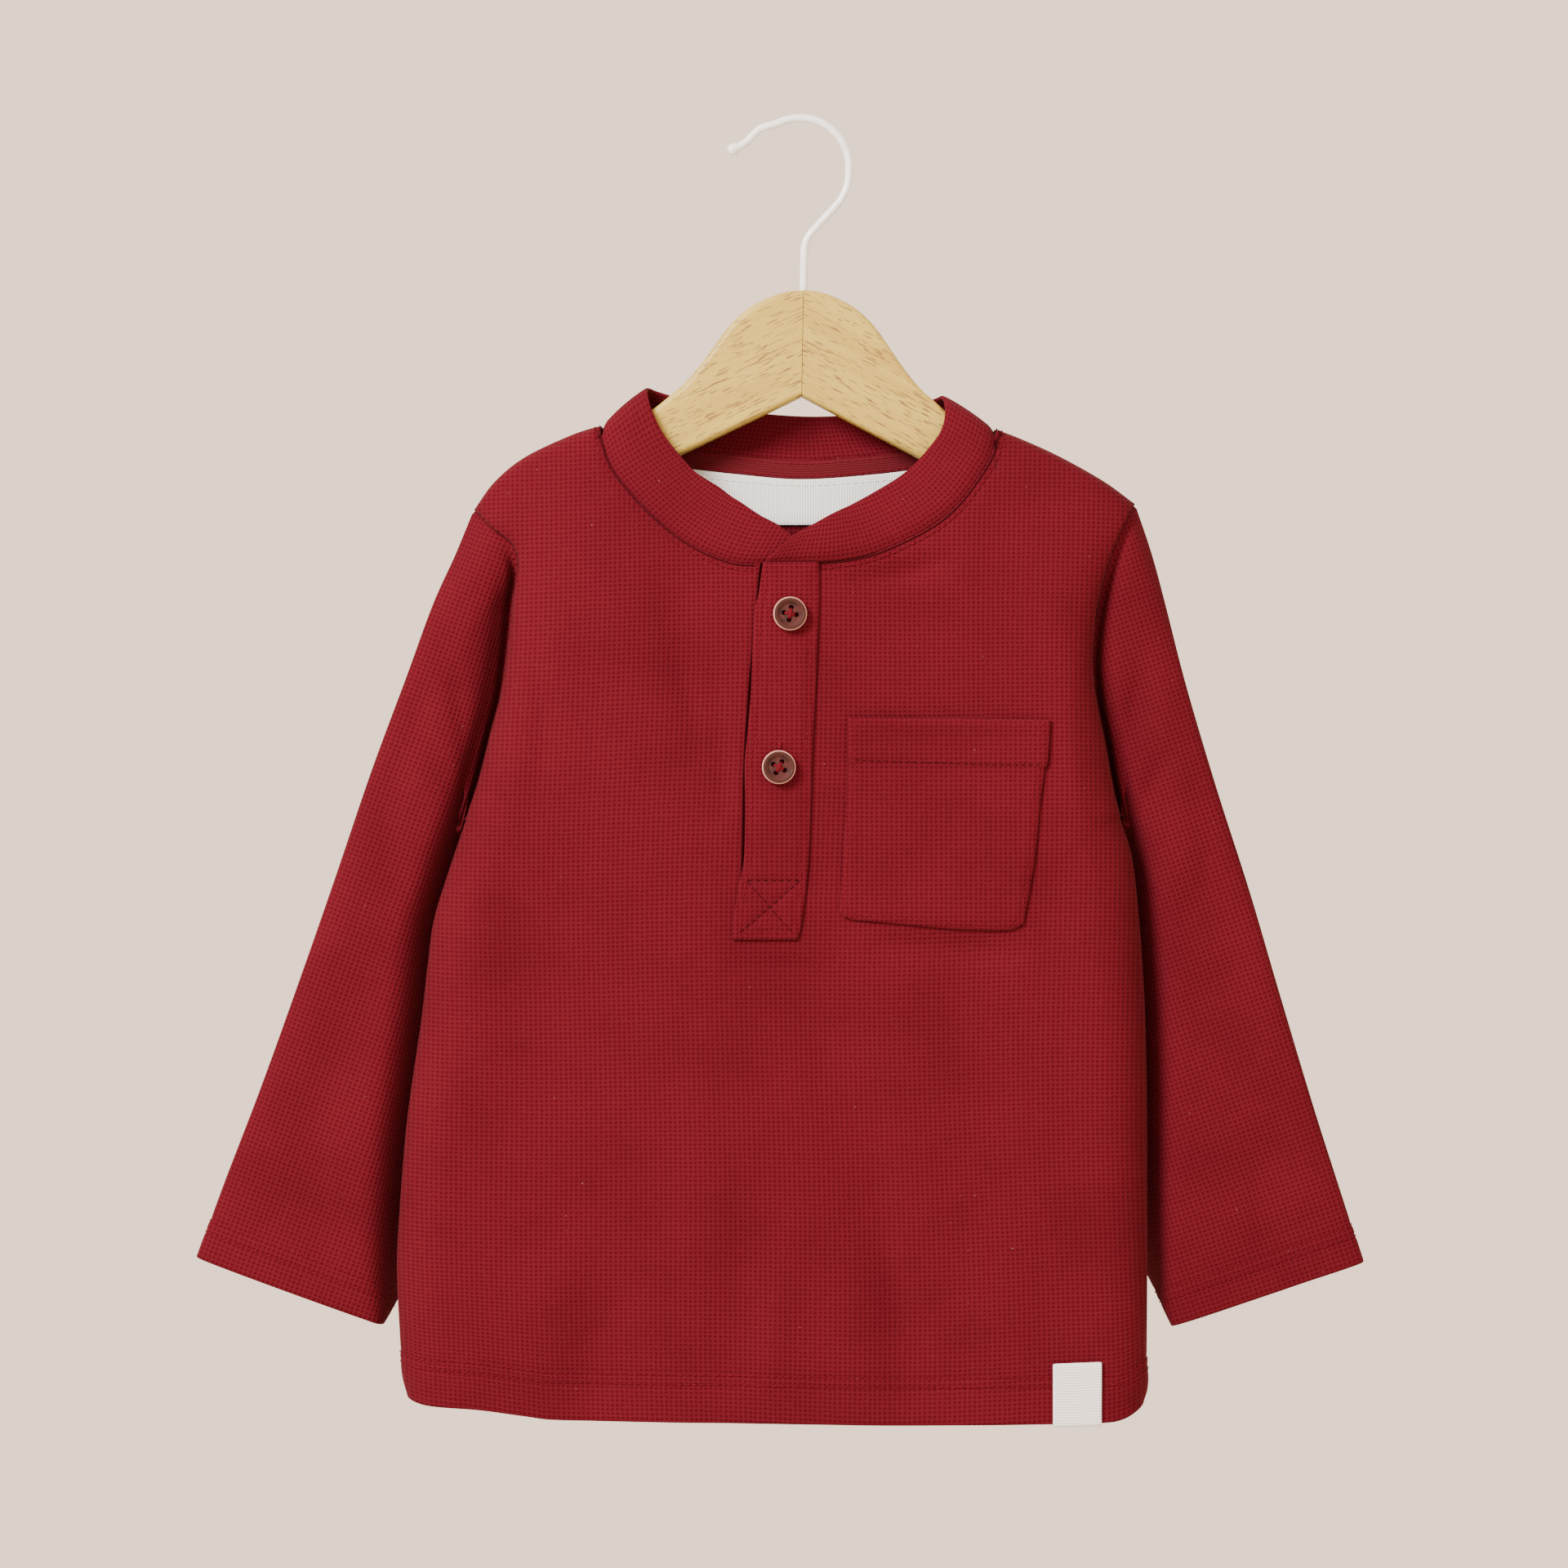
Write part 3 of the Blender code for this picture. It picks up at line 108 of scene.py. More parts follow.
# Neckline, where the collar is sewn on: x, z
NECK_LEFT = [
    (-75.6, -115.2), (-75.6, -118.6), (-74.6, -122.5), (-72.6, -128.8), (-69.6, -134.2), (-65.4, -139.6),
    (-58.4, -147.4), (-49, -155.9), (-41, -161.3), (-33.3, -165.2), (-24.5, -168), (-17.3, -168.5),
]
NECK_RIGHT = [
    (2.4, -167.8), (12.3, -167.3), (24.9, -165.1), (37.5, -160.2), (50.1, -153.4), (58.9, -145.8),
    (65.8, -136.9), (70.6, -129.4), (72.8, -123.6), (73.6, -119.6), (73.5, -116.4),
]
NECK_BACK = [
    (-75.6, -115.2), (-72.2, -117.6), (-62, -120.4), (-47, -122.8), (-25.2, -125.4), (0, -127.4),
    (27.5, -125.6), (47, -123.2), (61, -121.2), (70.4, -118.8), (73.5, -116.4),
]

# Front opening, left and right edge from the neckline to its foot: x, z
OPENING_LEFT = [(-15.8, -168.5), (-18.8, -200), (-21.9, -240), (-22.9, -289)]
OPENING_RIGHT = [(2.4, -167.8), (1.6, -200), (0, -240), (-1.9, -289)]

# Collar band's top edge: x, y, z above each row of the neckline's tables.
# The laps past them: seam x, seam z, top x, y, z
COLLAR_LAP_OVER = [(-13.3, -168, -3.4, -20.2, -158), (-5, -167.8, 0.8, -20, -155.8)]
COLLAR_RIGHT = [
    (5.8, -19.7, -153.2), (12.3, -18.6, -149.6), (19, -17.2, -146.4), (27, -16.2, -142),
    (37, -14.8, -135.8), (43.4, -13.5, -130.3), (49.2, -12, -123.6), (53, -10.6, -118), (54.8, -9, -111.6),
    (54.8, -5.4, -106.6), (54.2, 0, -103.1),
]
COLLAR_BACK = [
    (-59.2, 0, -100.3), (-56, 5.6, -101.6), (-47, 8.8, -104.2), (-36, 9.4, -106.8), (-20, 9.6, -109.6),
    (0, 9.6, -111.3), (20, 9.6, -110.8), (35, 9.4, -108.6), (45, 8.8, -106.4), (52, 5.6, -104.4),
    (54.2, 0, -103.1),
]
COLLAR_LEFT = [
    (-59.2, 0, -100.3), (-58.8, -5.4, -103.4), (-57.2, -9.2, -109), (-53.6, -11.4, -117),
    (-49.8, -12.3, -122.8), (-45.6, -12.9, -127.8), (-40.1, -14.2, -133.9), (-31.4, -15.4, -139.5),
    (-27, -16.1, -142.9), (-22.3, -16.7, -145.9), (-15.4, -17.3, -150.6), (-9.3, -17.7, -153.6),
]
COLLAR_LAP_UNDER = [(-9, -168.3, -3.6, -18, -158), (-1, -168, 1.6, -18.1, -160.4)]
COLLAR_LIFT_SHARE = 0.36  # share of the right neckline over which the lap settles on the panel
COLLAR_BULGE = 1.0

# Placket's top strip from the neckline to the foot of its box: z, left x, right x
PLACKET = [
    (-168, -14.2, 6.4), (-179.5, -15.6, 6.4), (-186, -17.2, 6.3), (-200, -18, 5.8), (-217.2, -18.6, 5),
    (-231.3, -19.8, 4.3), (-243, -21, 3.8), (-262, -20.7, 3.2), (-280, -21.2, 2.5), (-290.5, -23.4, 1.4),
    (-301, -25, 0.2), (-309.6, -25.5, -1.4),
]
UNDER_PLACKET_REACH = 4.5  # how far the under strip reaches behind each side of the opening

# Pocket's edges: x, z
POCKET_TOP = [(17.7, -226.1), (55, -226.8), (93.2, -227.3)]
POCKET_RIGHT = [(93.2, -227.3), (92.3, -242.7), (90.1, -261.4), (88.3, -280.1), (84.2, -303.8)]
POCKET_LEFT = [(17.7, -226.1), (17.4, -242.7), (15.3, -274), (13.7, -299.4)]
POCKET_BOTTOM = [(13.7, -299.4), (18.3, -301.9), (37, -303.7), (55.8, -305.5), (76, -306.2), (84.2, -303.8)]
POCKET_HEM = 16.0

# Buttons on the placket: x, z, turn in degrees
BUTTONS = {"button_upper": (-4.2, -187.4, 10.0), "button_lower": (-8.4, -245.0, 28.0)}
BUTTON_THICK = 3.2
# Half section of a button from its dish over the rim to its back: radius, height
BUTTON_SECTION = [(3.6, 2.2), (4.8, 3.05), (5.55, 3.2), (6.1, 2.7), (6.3, 1.6), (5.5, 0.2), (4.9, 0)]
BUTTON_HOLE_RADIUS = 0.95
BUTTON_HOLE_RING = 2.35

# Labels and tape inside the back of the neck, and at the hem
TAPE_HALF_WIDTH = 60.0
TAPE_HEIGHT = 6.6
NECK_LABEL_HALF_WIDTH = 46.0
NECK_LABEL_FOOT_Z = -152.2
HEM_LABEL_LEFT = 95.0
HEM_LABEL_RIGHT = 112.7
HEM_LABEL_TOP_Z = -469.4
HEM_LABEL_INSIDE = 15.0

# Folds, negative towards the viewer: from x, from z, to x, to z, depth, half width
FRONT_FOLDS = [
    (-44, -176, -38, -236, 1.8, 9), (14, -173, 44, -168, 1, 4.5), (-112, -350, -92, -402, 2.6, 26),
    (2, -330, 44, -478, 2.4, 13), (62, -402, 98, -452, 1.6, 13), (-124, -292, -118, -340, -1.6, 11),
    (-30, -350, -48, -500, -1.4, 15), (-78, -452, -84, -500, 1.8, 11), (84, -330, 76, -500, -1.2, 14),
    (30, -316, 88, -312, 0.9, 6), (-84, -160, -70, -215, -1, 12),
]
BACK_FOLDS = [
    (-40, -150, -66, -250, 1.6, 12), (52, -160, 70, -260, 1.4, 13), (-10, -260, -34, -495, 2.4, 15),
    (58, -330, 50, -495, -1.6, 16), (-92, -380, -84, -495, -1.4, 13), (14, -380, 20, -495, -1.3, 11),
]

FOLD_END_SHARE = 0.55  # share of its depth that a fold has at its ends

# Sleeves from the armhole to the cuff:
# outer x, outer z, inner x, inner z, half depth, share of the armhole's own form
SLEEVE_LEFT = [
    (-124.6, -148, -127.9, -265.9, 5, 1), (-131.4, -164.5, -130.6, -268.6, 6, 0.62),
    (-139.8, -183.1, -127.5, -276.5, 6.6, 0.28), (-150, -211, -117.5, -290.5, 7, 0.06),
    (-163, -246, -107, -306.5, 7.4, 0), (-177.5, -288.6, -97, -325, 7.6, 0),
    (-191.4, -328.4, -105, -359, 7.4, 0), (-205.5, -367.5, -123, -396, 7, 0),
    (-218.6, -401.6, -142, -427.5, 6.6, 0), (-229.1, -430.4, -158.8, -456.2, 6.2, 0),
]
SLEEVE_RIGHT = [
    (127.1, -145.8, 121.5, -264.4, 5, 1), (133.3, -164.5, 124, -267.4, 6, 0.62),
    (138.3, -183.1, 121.5, -275.5, 6.6, 0.28), (146.2, -214, 112.5, -289.5, 7, 0.06),
    (157.6, -252.5, 102.5, -305.5, 7.4, 0), (170.4, -292.5, 91, -323, 7.6, 0),
    (182, -332, 99, -359.5, 7.4, 0), (194.6, -374, 114, -400, 7, 0), (204.9, -406.3, 128.6, -431, 6.6, 0),
    (213.2, -432.2, 140.9, -456.9, 6.2, 0),
]
SLEEVE_OUTER_Y = {"left": 1.0, "right": 3.5}  # middle of the sleeve beside the body
SLEEVE_BEHIND_Y = 18.0  # middle of the sleeve behind the body
SLEEVE_STEP_FROM = -9.0  # where the sleeve starts to turn behind the body's edge
SLEEVE_STEP_TO = 2.0
SLEEVE_CLEAR = 1.7
SLEEVE_MARGIN = 3.0
SLEEVE_POWER = 3.0
SLEEVE_LEAST = 4.4  # least depth of the flattened sleeve
SLEEVE_EDGE_RISE = 3.0  # how fast the middle leaves the sleeve's outer edge
# Folds along and across the sleeves, as on the front
SLEEVE_FOLDS = {
    "left": [
        (-132, -182, -158, -262, 1.6, 6), (-168, -330, -186, -392, 1.5, 9),
        (-214, -400, -172, -418, 0.9, 5),
    ],
    "right": [
        (130, -186, 146, -278, -1.8, 5.5), (150, -250, 166, -350, 1.6, 8), (196, -384, 158, -402, 1, 6),
    ],
}

# Hanger, in its own upright frame, turned by its tilt about the origin
TILT = math.radians(1.0)
STEM_X = 2.0
ARM_THICK = 12.0
ARM_ROUND = 2.2
ARM_CROWN_Z = -64.2
ARM_UNDER_Z = -104.4
ARM_UNDER_SLOPE = 0.504
ARM_END_RADIUS = 11.0
ARM_END_STEPS = 30
ARM_UNDER_STEP = 2.0
ARM_TOP_STEPS = 6
ARM_ROUND_STEPS = 6
# Top edge of one arm from the crown outwards: distance from the stem, z
ARM_TOP = [
    (6.5, -64.9), (12.5, -66.9), (19.2, -70.4), (24.4, -74.6), (28.7, -79.4), (33, -85.4), (37.3, -91.5),
    (41.5, -96.9), (45.7, -101.5), (50, -105.2), (56.5, -110.4), (66, -115.4), (76, -119.4), (88, -123.6),
    (98, -128.4), (105.5, -132.9),
]

# Hook of round wire
WIRE = 3.0
HOOK_RADIUS = 18.5  # to the wire's middle
HOOK_DROP = 2.4  # straight wire between the two arcs of the hook's side
HOOK_TIP_ANGLE = 117.0
HOOK_FOOT_ANGLE = -42.0
HOOK_TIP_RUN = 17.5
HOOK_NECK_RADIUS = 12.0
# How far the hook's end bends off its straight run, at shares of the run from the arc
HOOK_TIP_BEND = [(0, 0), (0.12, 0.2), (0.3, 0.9), (0.46, 1), (0.62, 0.1), (0.8, -1), (1, -1.4), (1.4, -1.4)]
HOOK_STEM_FOOT_Z = -88.0
HOOK_ARC_STEPS = 18
HOOK_TIP_STEPS = 16
HOOK_NECK_STEPS = 12
HOOK_STEM_DROPS = (6.0, 12.0)
# Ball at the hook's tip: distance past the wire's end, radius as a share of the wire's
HOOK_BALL = [(0.6, 1.12), (1.4, 1.42), (2.6, 1.55), (3.8, 1.36), (4.6, 0.85)]

# Places of the grid's lines, closer together where the cloth turns
PANEL_COLUMNS_MM = (0, 0.25, 0.7, 1.3, 2.2, 3.4, 5, 7, 12, 19, 28, 40, 55, 57, 61, 68, 79, 92, 110, 130)
NECK_COLUMN_MM = 55  # the column that starts at the neck point
OPENING_COLUMNS = 12
UPPER_ROWS = (0, 0.0003, 0.0012, 0.004, 0.007, 0.010, 0.016, 0.022, 0.028, 0.036, 0.044, 0.052, 1)
UPPER_STEP = 0.0155
LOWER_ROWS = (0, 0.90, 0.905, 0.91, 0.92, 0.96, 1)
LOWER_STEP = 0.0095
SLEEVE_COLUMNS = 60
SLEEVE_STEPS = 18
SLEEVE_HEAD_SHARE = 0.06  # of the ring, where the two sides meet on the shoulder
SLEEVE_HEAD_DROP = 0.9
SLEEVE_HEAD_DEEP = 0.8
SLEEVE_TUCK = 0.9  # how far the sleeve starts behind the body's edge further down
SLEEVE_TUCK_DEEP = 1.5
SLEEVE_TUCK_FROM = 0.18
SLEEVE_TUCK_FADE = 0.15
SLEEVE_TUCK_POWER = 8
SLEEVE_SMOOTHING = 5
SLEEVE_TROUGH = {"left": (5.0, 7.5), "right": (2.0, 5.0)}  # depth, half width
TROUGH_FROM_Z = -160.0
TROUGH_TO_Z = -272.0
TROUGH_FADE = 26.0
TROUGH_EDGE = 3.5
COLLAR_STATIONS = 90
BACK_STATIONS = 70
LAP_STATIONS = 12
COLLAR_LEVELS = 18
COLLAR_SMOOTHING = 4
TOP_STEPS = 40
POCKET_COLUMNS = 70
POCKET_ROWS = 76

# Finer sizes, which the solids don't have
CLOTH_STEP = 2.0
RIM_STEPS = 3
RIM_BULGE = 0.7  # how round the cloth's cut or folded edges are
HEM_ROWS = (14.0, 17.6)  # twin rows of stitches above the hem's edge
CUFF_ROWS = (10.0, 14.6)
NECK_ROW = 2.6  # topstitch below the collar's seam
NECK_ROW_ENDS = (-16.0, 7.0)  # x, beside the placket
BACK_ROW_HALF = 60.0
NUDGE = 0.3
STITCH_PITCH = 2.7
STITCH_LENGTH = 2.1
STITCH_RADIUS = 0.2
STITCH_SIDES = 6
# Along a stitch: place from its middle, height above the cloth and thickness, by its radius
STITCH_STATIONS = [
    (-0.5, -0.7, 0.5), (-0.36, 0.15, 0.95), (0, 0.45, 1), (0.36, 0.15, 0.95), (0.5, -0.7, 0.5),
]
DIMPLE = 0.35  # how deep a row of stitches draws the cloth in
DIMPLE_WIDTH = 1.1
BLOCK = 2000  # grid points that are measured at a time
SEAM_DEPTH = 0.8
SEAM_WIDTH = 1.2
# Painted shade: near-black thread lines along the neck seams and the upper armhole seams stand in for the
# shadow in their grooves
SHADE_LINE_OUT = 0.7  # how far out from the seam the painted-shade line beside the band's foot runs
SHADE_LINE_LIFT = -0.1
SHADE_LINE_RADIUS = 0.24
SEAM_STEPS = 24
ROW_STEPS = 12
SHADE_LINE_ENDS = (-17.0, 3.0)  # x, beside the placket
THREAD_SIDES = 8
ARMHOLE_SHADE_ROWS = 5
HEM_SWELL = 0.35  # the doubled cloth below the stitches
HEM_SWELL_ABOVE = 1.0
HEM_SWELL_FADE = 1.6
CREASE_PARTS = 5
CREASE_SCALE = 2.0
CREASE_FADE = 0.8
CREASE_POWER = 1.6
UNEVEN = 0.16  # height of the cloth's slight unevenness
SLEEVE_UNEVEN_SHIFT = 40.0
WEAVE_FOLLOW = 60.0  # how far above the hem the cloth's rows follow it
WEAVE_WARP = 1.2
COLLAR_SEAT = 0.1
SHOULDER_SEAT = 1.6  # how much deeper the band's foot goes at the two shoulders
SHOULDER_REACH = 6.0
COLLAR_CROWN = 0.7
COLLAR_WAVE = 0.3
COLLAR_TUCK = 0.8
COLLAR_TUCK_RISE = 5.0
APPLIED = 1.3  # thickness of what is sewn flat on the front
APPLIED_CROWN = 0.5
APPLIED_ROLL = 2.6
APPLIED_GROOVE = 0.6
PLACKET_GRID = (118, 20)
UNDER_PLACKET_GRID = (60, 14)
PLACKET_WIDTH = 25.0
PLACKET_INSET = 2.2
PLACKET_ROW_START = 4.0
PLACKET_ROW_STEPS = 40
# Painted shade: the box's top row and its cross are in the near-black thread, for the shadow in their grooves
PLACKET_SHADE_ROWS = (2, 4, 5)
PLACKET_BOX_TOP = -287.5
BUTTONHOLE_BAR = [(-8.1, -235.2), (-8.1, -238.6)]
BAR_STEP = 0.3
BAR_STITCH = {"pitch": 9.0, "length": 3.4, "thick": 0.55}
POCKET_WIDTH = 72.0
POCKET_LENGTH = 76.0
POCKET_INSET = 1.6
POCKET_DIMPLE_WIDTH = 1.43
# Painted shade: the pocket's hem row is in the near-black thread, for the shadow at its step
POCKET_SHADE_ROWS = (1,)
POCKET_CORNER = ((0.0, -1.0), (5.0, -6.5))  # ends of the corner's stitches, inwards and up
POCKET_MOUTH = 0.8  # how far its open top stands off
POCKET_MOUTH_WIDTH = 5.0
POCKET_PUFF = 0.25  # inside its row of stitches
POCKET_PUFF_IN = 2.6
POCKET_PUFF_WIDTH = 1.9
POCKET_HEM_STEP = 0.6
POCKET_STEP_WIDTH = 1.6
POCKET_HEM_EDGE = 0.02
POCKET_SPREAD_POWER = 15
POCKET_HEM_SPREAD = 0.8  # how much narrower each side is below the hem
TAPE_GRID = (100, 8)
NECK_LABEL_GRID = (80, 16)
HEM_LABEL_COLUMNS = 24
HEM_LABEL_TILT = 0.35
# Shares of its front, turns round the edge and shares inside: from, to, count
HEM_LABEL_RUNS = ((1, 0.02, 18), (0, math.pi, 9), (0.05, 1, 10))
NEAR_SOFTNESS = 0.02
MITRE_GAP = 0.1
GLUE_SET_BACK = 0.3  # how far the mitre's glue stays behind the wood
FACE_MARGIN = 0.3
GRAIN_SLOPE = 0.51
GRAIN_START = {"left": 40.0, "right": 320.0}
SHARP_DEGREES = 35.0
WIRE_SIDES = 20
BUTTON_SIDES = 72
BUTTON_STEPS = 5
HOLE_SIDES = 20
THREAD_SPREAD = 0.27
THREAD_RISE = 0.33
THREAD_SINK = 7.0
THREAD_SINK_POWER = 1.3
THREAD_SHARE = 0.6
BUTTON_THREAD = 0.27
BUTTON_THREAD_STEPS = 25

# Creases, finer than the folds: from x, from z, bow of the middle, to x, to z, depth, half width
FRONT_CREASES = [
    (-108, -172, 6, -100, -262, 0.9, 7), (-60, -170, 5, -36, -262, 0.7, 8),
    (16, -176, -2, 58, -166, 1.1, 4), (-34, -200, 2, -30, -268, 1, 5), (104, -196, -6, 112, -292, -0.8, 7),
    (24, -312, 3, 84, -318, 0.8, 4.5), (-30, -316, -3, 8, -318, 0.6, 4.5),
    (-132, -300, 4, -96, -306, 0.5, 6), (-98, -410, 6, -60, -470, 0.8, 10), (20, -370, 5, 38, -486, 0.9, 8),
    (60, -360, -4, 104, -440, 0.7, 9), (-10, -420, 3, -16, -490, -0.7, 8),
]
BACK_CREASES = [
    (-92, -160, 6, -76, -270, 0.9, 8), (96, -165, -6, 74, -280, 0.8, 9), (-30, -150, 4, 44, -156, 0.7, 7),
    (-20, -300, 5, 30, -410, 0.9, 9), (-74, -330, -5, -62, -480, 0.8, 10), (84, -350, 5, 66, -484, 0.8, 9),
    (-118, -300, 4, -84, -318, 0.6, 6), (116, -296, -4, 84, -322, 0.6, 6),
]
SLEEVE_CREASES = {
    "left": [
        (-138, -190, 3, -128, -244, 1, 5), (-152, -226, 3, -130, -262, 0.9, 5),
        (-160, -262, -4, -140, -300, 0.8, 6), (-182, -318, 4, -152, -342, 0.7, 7),
        (-196, -366, 3, -176, -432, 0.8, 7), (-222, -414, 2, -186, -424, 0.6, 5),
    ],
    "right": [
        (132, -200, -3, 122, -252, 1, 5), (146, -232, -3, 128, -268, 0.9, 5),
        (156, -272, 4, 138, -312, 0.8, 6), (172, -318, -4, 146, -344, 0.7, 7),
        (184, -352, -3, 176, -430, 0.8, 7), (206, -414, -2, 172, -428, 0.6, 5),
    ],
}

# Looks: linear colours, and sizes in millimetres
KNIT_PITCH = (1.86, 1.7)
KNIT_WANDER = 0.75
KNIT_DEPTH = 0.3
KNIT_RIB = (0.090, 0.0062, 0.0122)
KNIT_PIT = (0.070, 0.0029, 0.0068)
KNIT_RIB_FAR = (0.078, 0.0052, 0.0106)
KNIT_PIT_FAR = (0.061, 0.0025, 0.0060)
KNIT_FINISH = {
    "Roughness": 0.95,
    "Specular IOR Level": 0.03,
    "Sheen Weight": 0.03,
    "Sheen Roughness": 0.4,
    "Sheen Tint": (1.0, 0.55, 0.55, 1.0),
}
LINT = (0.75, 0.55, 0.52)
BUTTON_FACE = (0.058, 0.0105, 0.0085)
BUTTON_DARK = (0.026, 0.0060, 0.0052)
BUTTON_BEVEL = (0.040, 0.0080, 0.0050)
BUTTON_RIM = (0.52, 0.265, 0.225)
BEVEL_RING = (4.4, 4.8)  # radii between which each tone sets in
RIM_RING = (5.86, 6.0)
WOOD_LIGHT = (0.46, 0.330, 0.060)
WOOD_DARK = (0.40, 0.265, 0.042)
WOOD_FLECK = (0.15, 0.07, 0.022)
PAINT_LIGHT = (0.83, 0.845, 0.87)
PAINT_DARK = (0.76, 0.76, 0.75)

# The studio
FLOOR_COLOUR = (0.62, 0.55, 0.47)
FLOOR_Z = -760.0
FLOOR_REACH = 1200.0
WORLD_COLOUR = (1.0, 0.765, 0.585)
WORLD_STRENGTH = 1.95
# Name, place, target and size in metres, power, colour
LIGHTS = [
    ("key", (-1.25, -1.6, 0.9), (-0.02, 0.0, -0.27), 0.9, 130.0, (1.0, 0.985, 0.96)),
    ("fill", (1.6, -1.5, 0.1), (0.0, 0.0, -0.3), 1.4, 4.0, (1.0, 0.99, 0.98)),
    ("rim", (-0.5, 0.9, 1.2), (0.0, 0.0, -0.2), 0.8, 8.0, (1.0, 1.0, 1.0)),
]
CAMERA_X = -6.5
CAMERA_Z = -251.3
CAMERA_DISTANCE = 1800.0
CAMERA_REACH = 20.0
FRAME_WIDTH = 595.2


# Curves and grids


def smooth_curve(table, steps=8):
    """A smooth line through a table's rows, with steps points to each row."""
    rows = np.asarray(table, float)
    ends = np.vstack([2 * rows[0] - rows[1], rows, 2 * rows[-1] - rows[-2]])
    t = np.linspace(0, 1, steps, endpoint=False)[:, None]
    pieces = []
    for a, b, c, d in zip(ends[:-3], ends[1:-2], ends[2:-1], ends[3:]):
        bend = 2 * a - 5 * b + 4 * c - d + t * (3 * b - 3 * c + d - a)
        pieces.append(b + 0.5 * t * (c - a + t * bend))
    return np.vstack([*pieces, rows[-1:]])


def run_of(points):
    """The distance along a line at each of its points."""
    return np.append(0.0, np.cumsum(np.linalg.norm(np.diff(points, axis=0), axis=1)))


def at_run(at, run, values):
    """The values' rows at places along their run."""
    return np.stack([np.interp(at, run, column) for column in values.T], axis=-1)


def resample(points, fractions):
    """The points at fractions of a line's length, measured in plan, over x and z."""
    run = run_of(points[:, :2])
    return at_run(np.asarray(fractions) * run[-1], run, points)


def dense(points, step=0.8):
    """A line's points, with more between them."""
    points = np.asarray(points, float)
    run = run_of(points)
    return at_run(np.linspace(0, run[-1], max(2, int(run[-1] / step) + 1)), run, points)


def refine(places, step):
    """The places with more between them, no further apart than step."""
    fine = [places[0]]
    for a, b in zip(places[:-1], places[1:]):
        count = max(1, math.ceil((b - a) / step))
        fine.extend(a + (b - a) * np.arange(1, count + 1) / count)
    return np.asarray(fine)


def patch(top, bottom, left, right, weights, vs):
    """A grid of rows and columns that fills the space between four edges.

    The weights say how far each column follows the right edge's own curve and not the left one's.
    """
    u = np.asarray(weights)[None, :, None]
    v = np.asarray(vs)[:, None, None]
    across = (1 - u) * left[:, None] + u * right[:, None]
    down = (1 - v) * top[None] + v * bottom[None]
    corners = (1 - v) * ((1 - u) * top[0] + u * top[-1]) + v * ((1 - u) * bottom[0] + u * bottom[-1])
    return across + down - corners


def roll(t):
    """A rounded edge's profile: 0 at the edge, 1 from t = 1 on."""
    return (1 - (1 - np.clip(t, 0, 1)) ** ROLL_POWER) ** (1 / ROLL_POWER)


def ease(t):
    t = np.clip(t, 0, 1)
    return t * t * (3 - 2 * t)


def unit(ways):
    return ways / np.maximum(np.linalg.norm(ways, axis=-1, keepdims=True), 1e-9)


def xyz(x, y, z):
    return np.stack(np.broadcast_arrays(x, y, z), axis=-1)


def smoothed(values):
    """A line's inner values, each mixed with its two neighbours."""
    return (values[:-2] + 2 * values[1:-1] + values[2:]) / 4


def segment_distance(x, z, ax, az, bx, bz):
    dx, dz = bx - ax, bz - az
    t = np.clip(((x - ax) * dx + (z - az) * dz) / (dx * dx + dz * dz), 0, 1)
    return np.hypot(x - ax - t * dx, z - az - t * dz), t


def near_edge(edge, x, z):
    """The distance to an edge of rows x, z, y, and the edge's y at its nearest point."""
    best = np.full(x.shape, np.inf)
    depth = np.zeros(x.shape)
    for (ax, az, ay), (bx, bz, by) in zip(edge[:-1], edge[1:]):
        away, along = segment_distance(x, z, ax, az, bx, bz)
        closer = away < best
        best = np.where(closer, away, best)
        depth = np.where(closer, ay + (by - ay) * along, depth)
    return best, depth


def fold_depth(x, z, folds):
    """How far the folds push the cloth at x, z."""
    push = np.zeros_like(x)
    for ax, az, bx, bz, depth, half_width in folds:
        away, along = segment_distance(x, z, ax, az, bx, bz)
        swell = FOLD_END_SHARE + (1 - FOLD_END_SHARE) * np.sin(math.pi * along)
        push += depth * swell * np.exp(-((away / half_width) ** 2))
    return push


def crease_depth(x, z, creases):
    """How far the creases push the cloth at x, z. Each one is bowed, and fades at its ends."""
    push = np.zeros_like(x)
    bends = np.linspace(0, 1, CREASE_PARTS + 1)
    for ax, az, bow, bx, bz, depth, half_width in creases:
        side = bow * np.sin(math.pi * bends) / math.hypot(bx - ax, bz - az)
        line_x = ax + (bx - ax) * bends - (bz - az) * side
        line_z = az + (bz - az) * bends + (bx - ax) * side
        away, along = near_edge(np.stack([line_x, line_z, bends], axis=-1), x, z)
        fade = np.sin(math.pi * along) ** CREASE_FADE
        push += CREASE_SCALE * depth * fade * np.exp(-((away / half_width) ** CREASE_POWER))
    return push


def uneven(x, z):
    """A slight waviness of the cloth, from a few long waves that don't line up."""
    return UNEVEN * (
        np.sin(x / 9.7 + 1.3 * np.sin(z / 31.0)) * np.sin(z / 13.1 + 0.8)
        + 0.8 * np.sin(x / 17.3 - z / 23.9 + 2.1)
        + 0.6 * np.sin(x / 6.1 + z / 7.9 + 0.7 * np.sin(x / 19.0))
    )


# The body's form


def shoulder_line():
    left = smooth_curve(SHOULDER_LEFT)
    right = smooth_curve(SHOULDER_RIGHT)
    plateau = [(left[-1, 0] + PLATEAU_INSET, NECK_PLATEAU_Z), (right[0, 0] - PLATEAU_INSET, NECK_PLATEAU_Z)]
    return np.vstack([left, plateau, right])


def side_edge(side, y_column):
    """The armhole and side seam of one panel edge, as rows x, z, y."""
    armhole, seam = SIDES[side][:2]
    hole = smooth_curve([(row[0], row[1], row[y_column]) for row in armhole])
    return np.vstack([hole, smooth_curve([(x, z, 0.0) for x, z in seam])[1:]])


SHOULDER = shoulder_line()
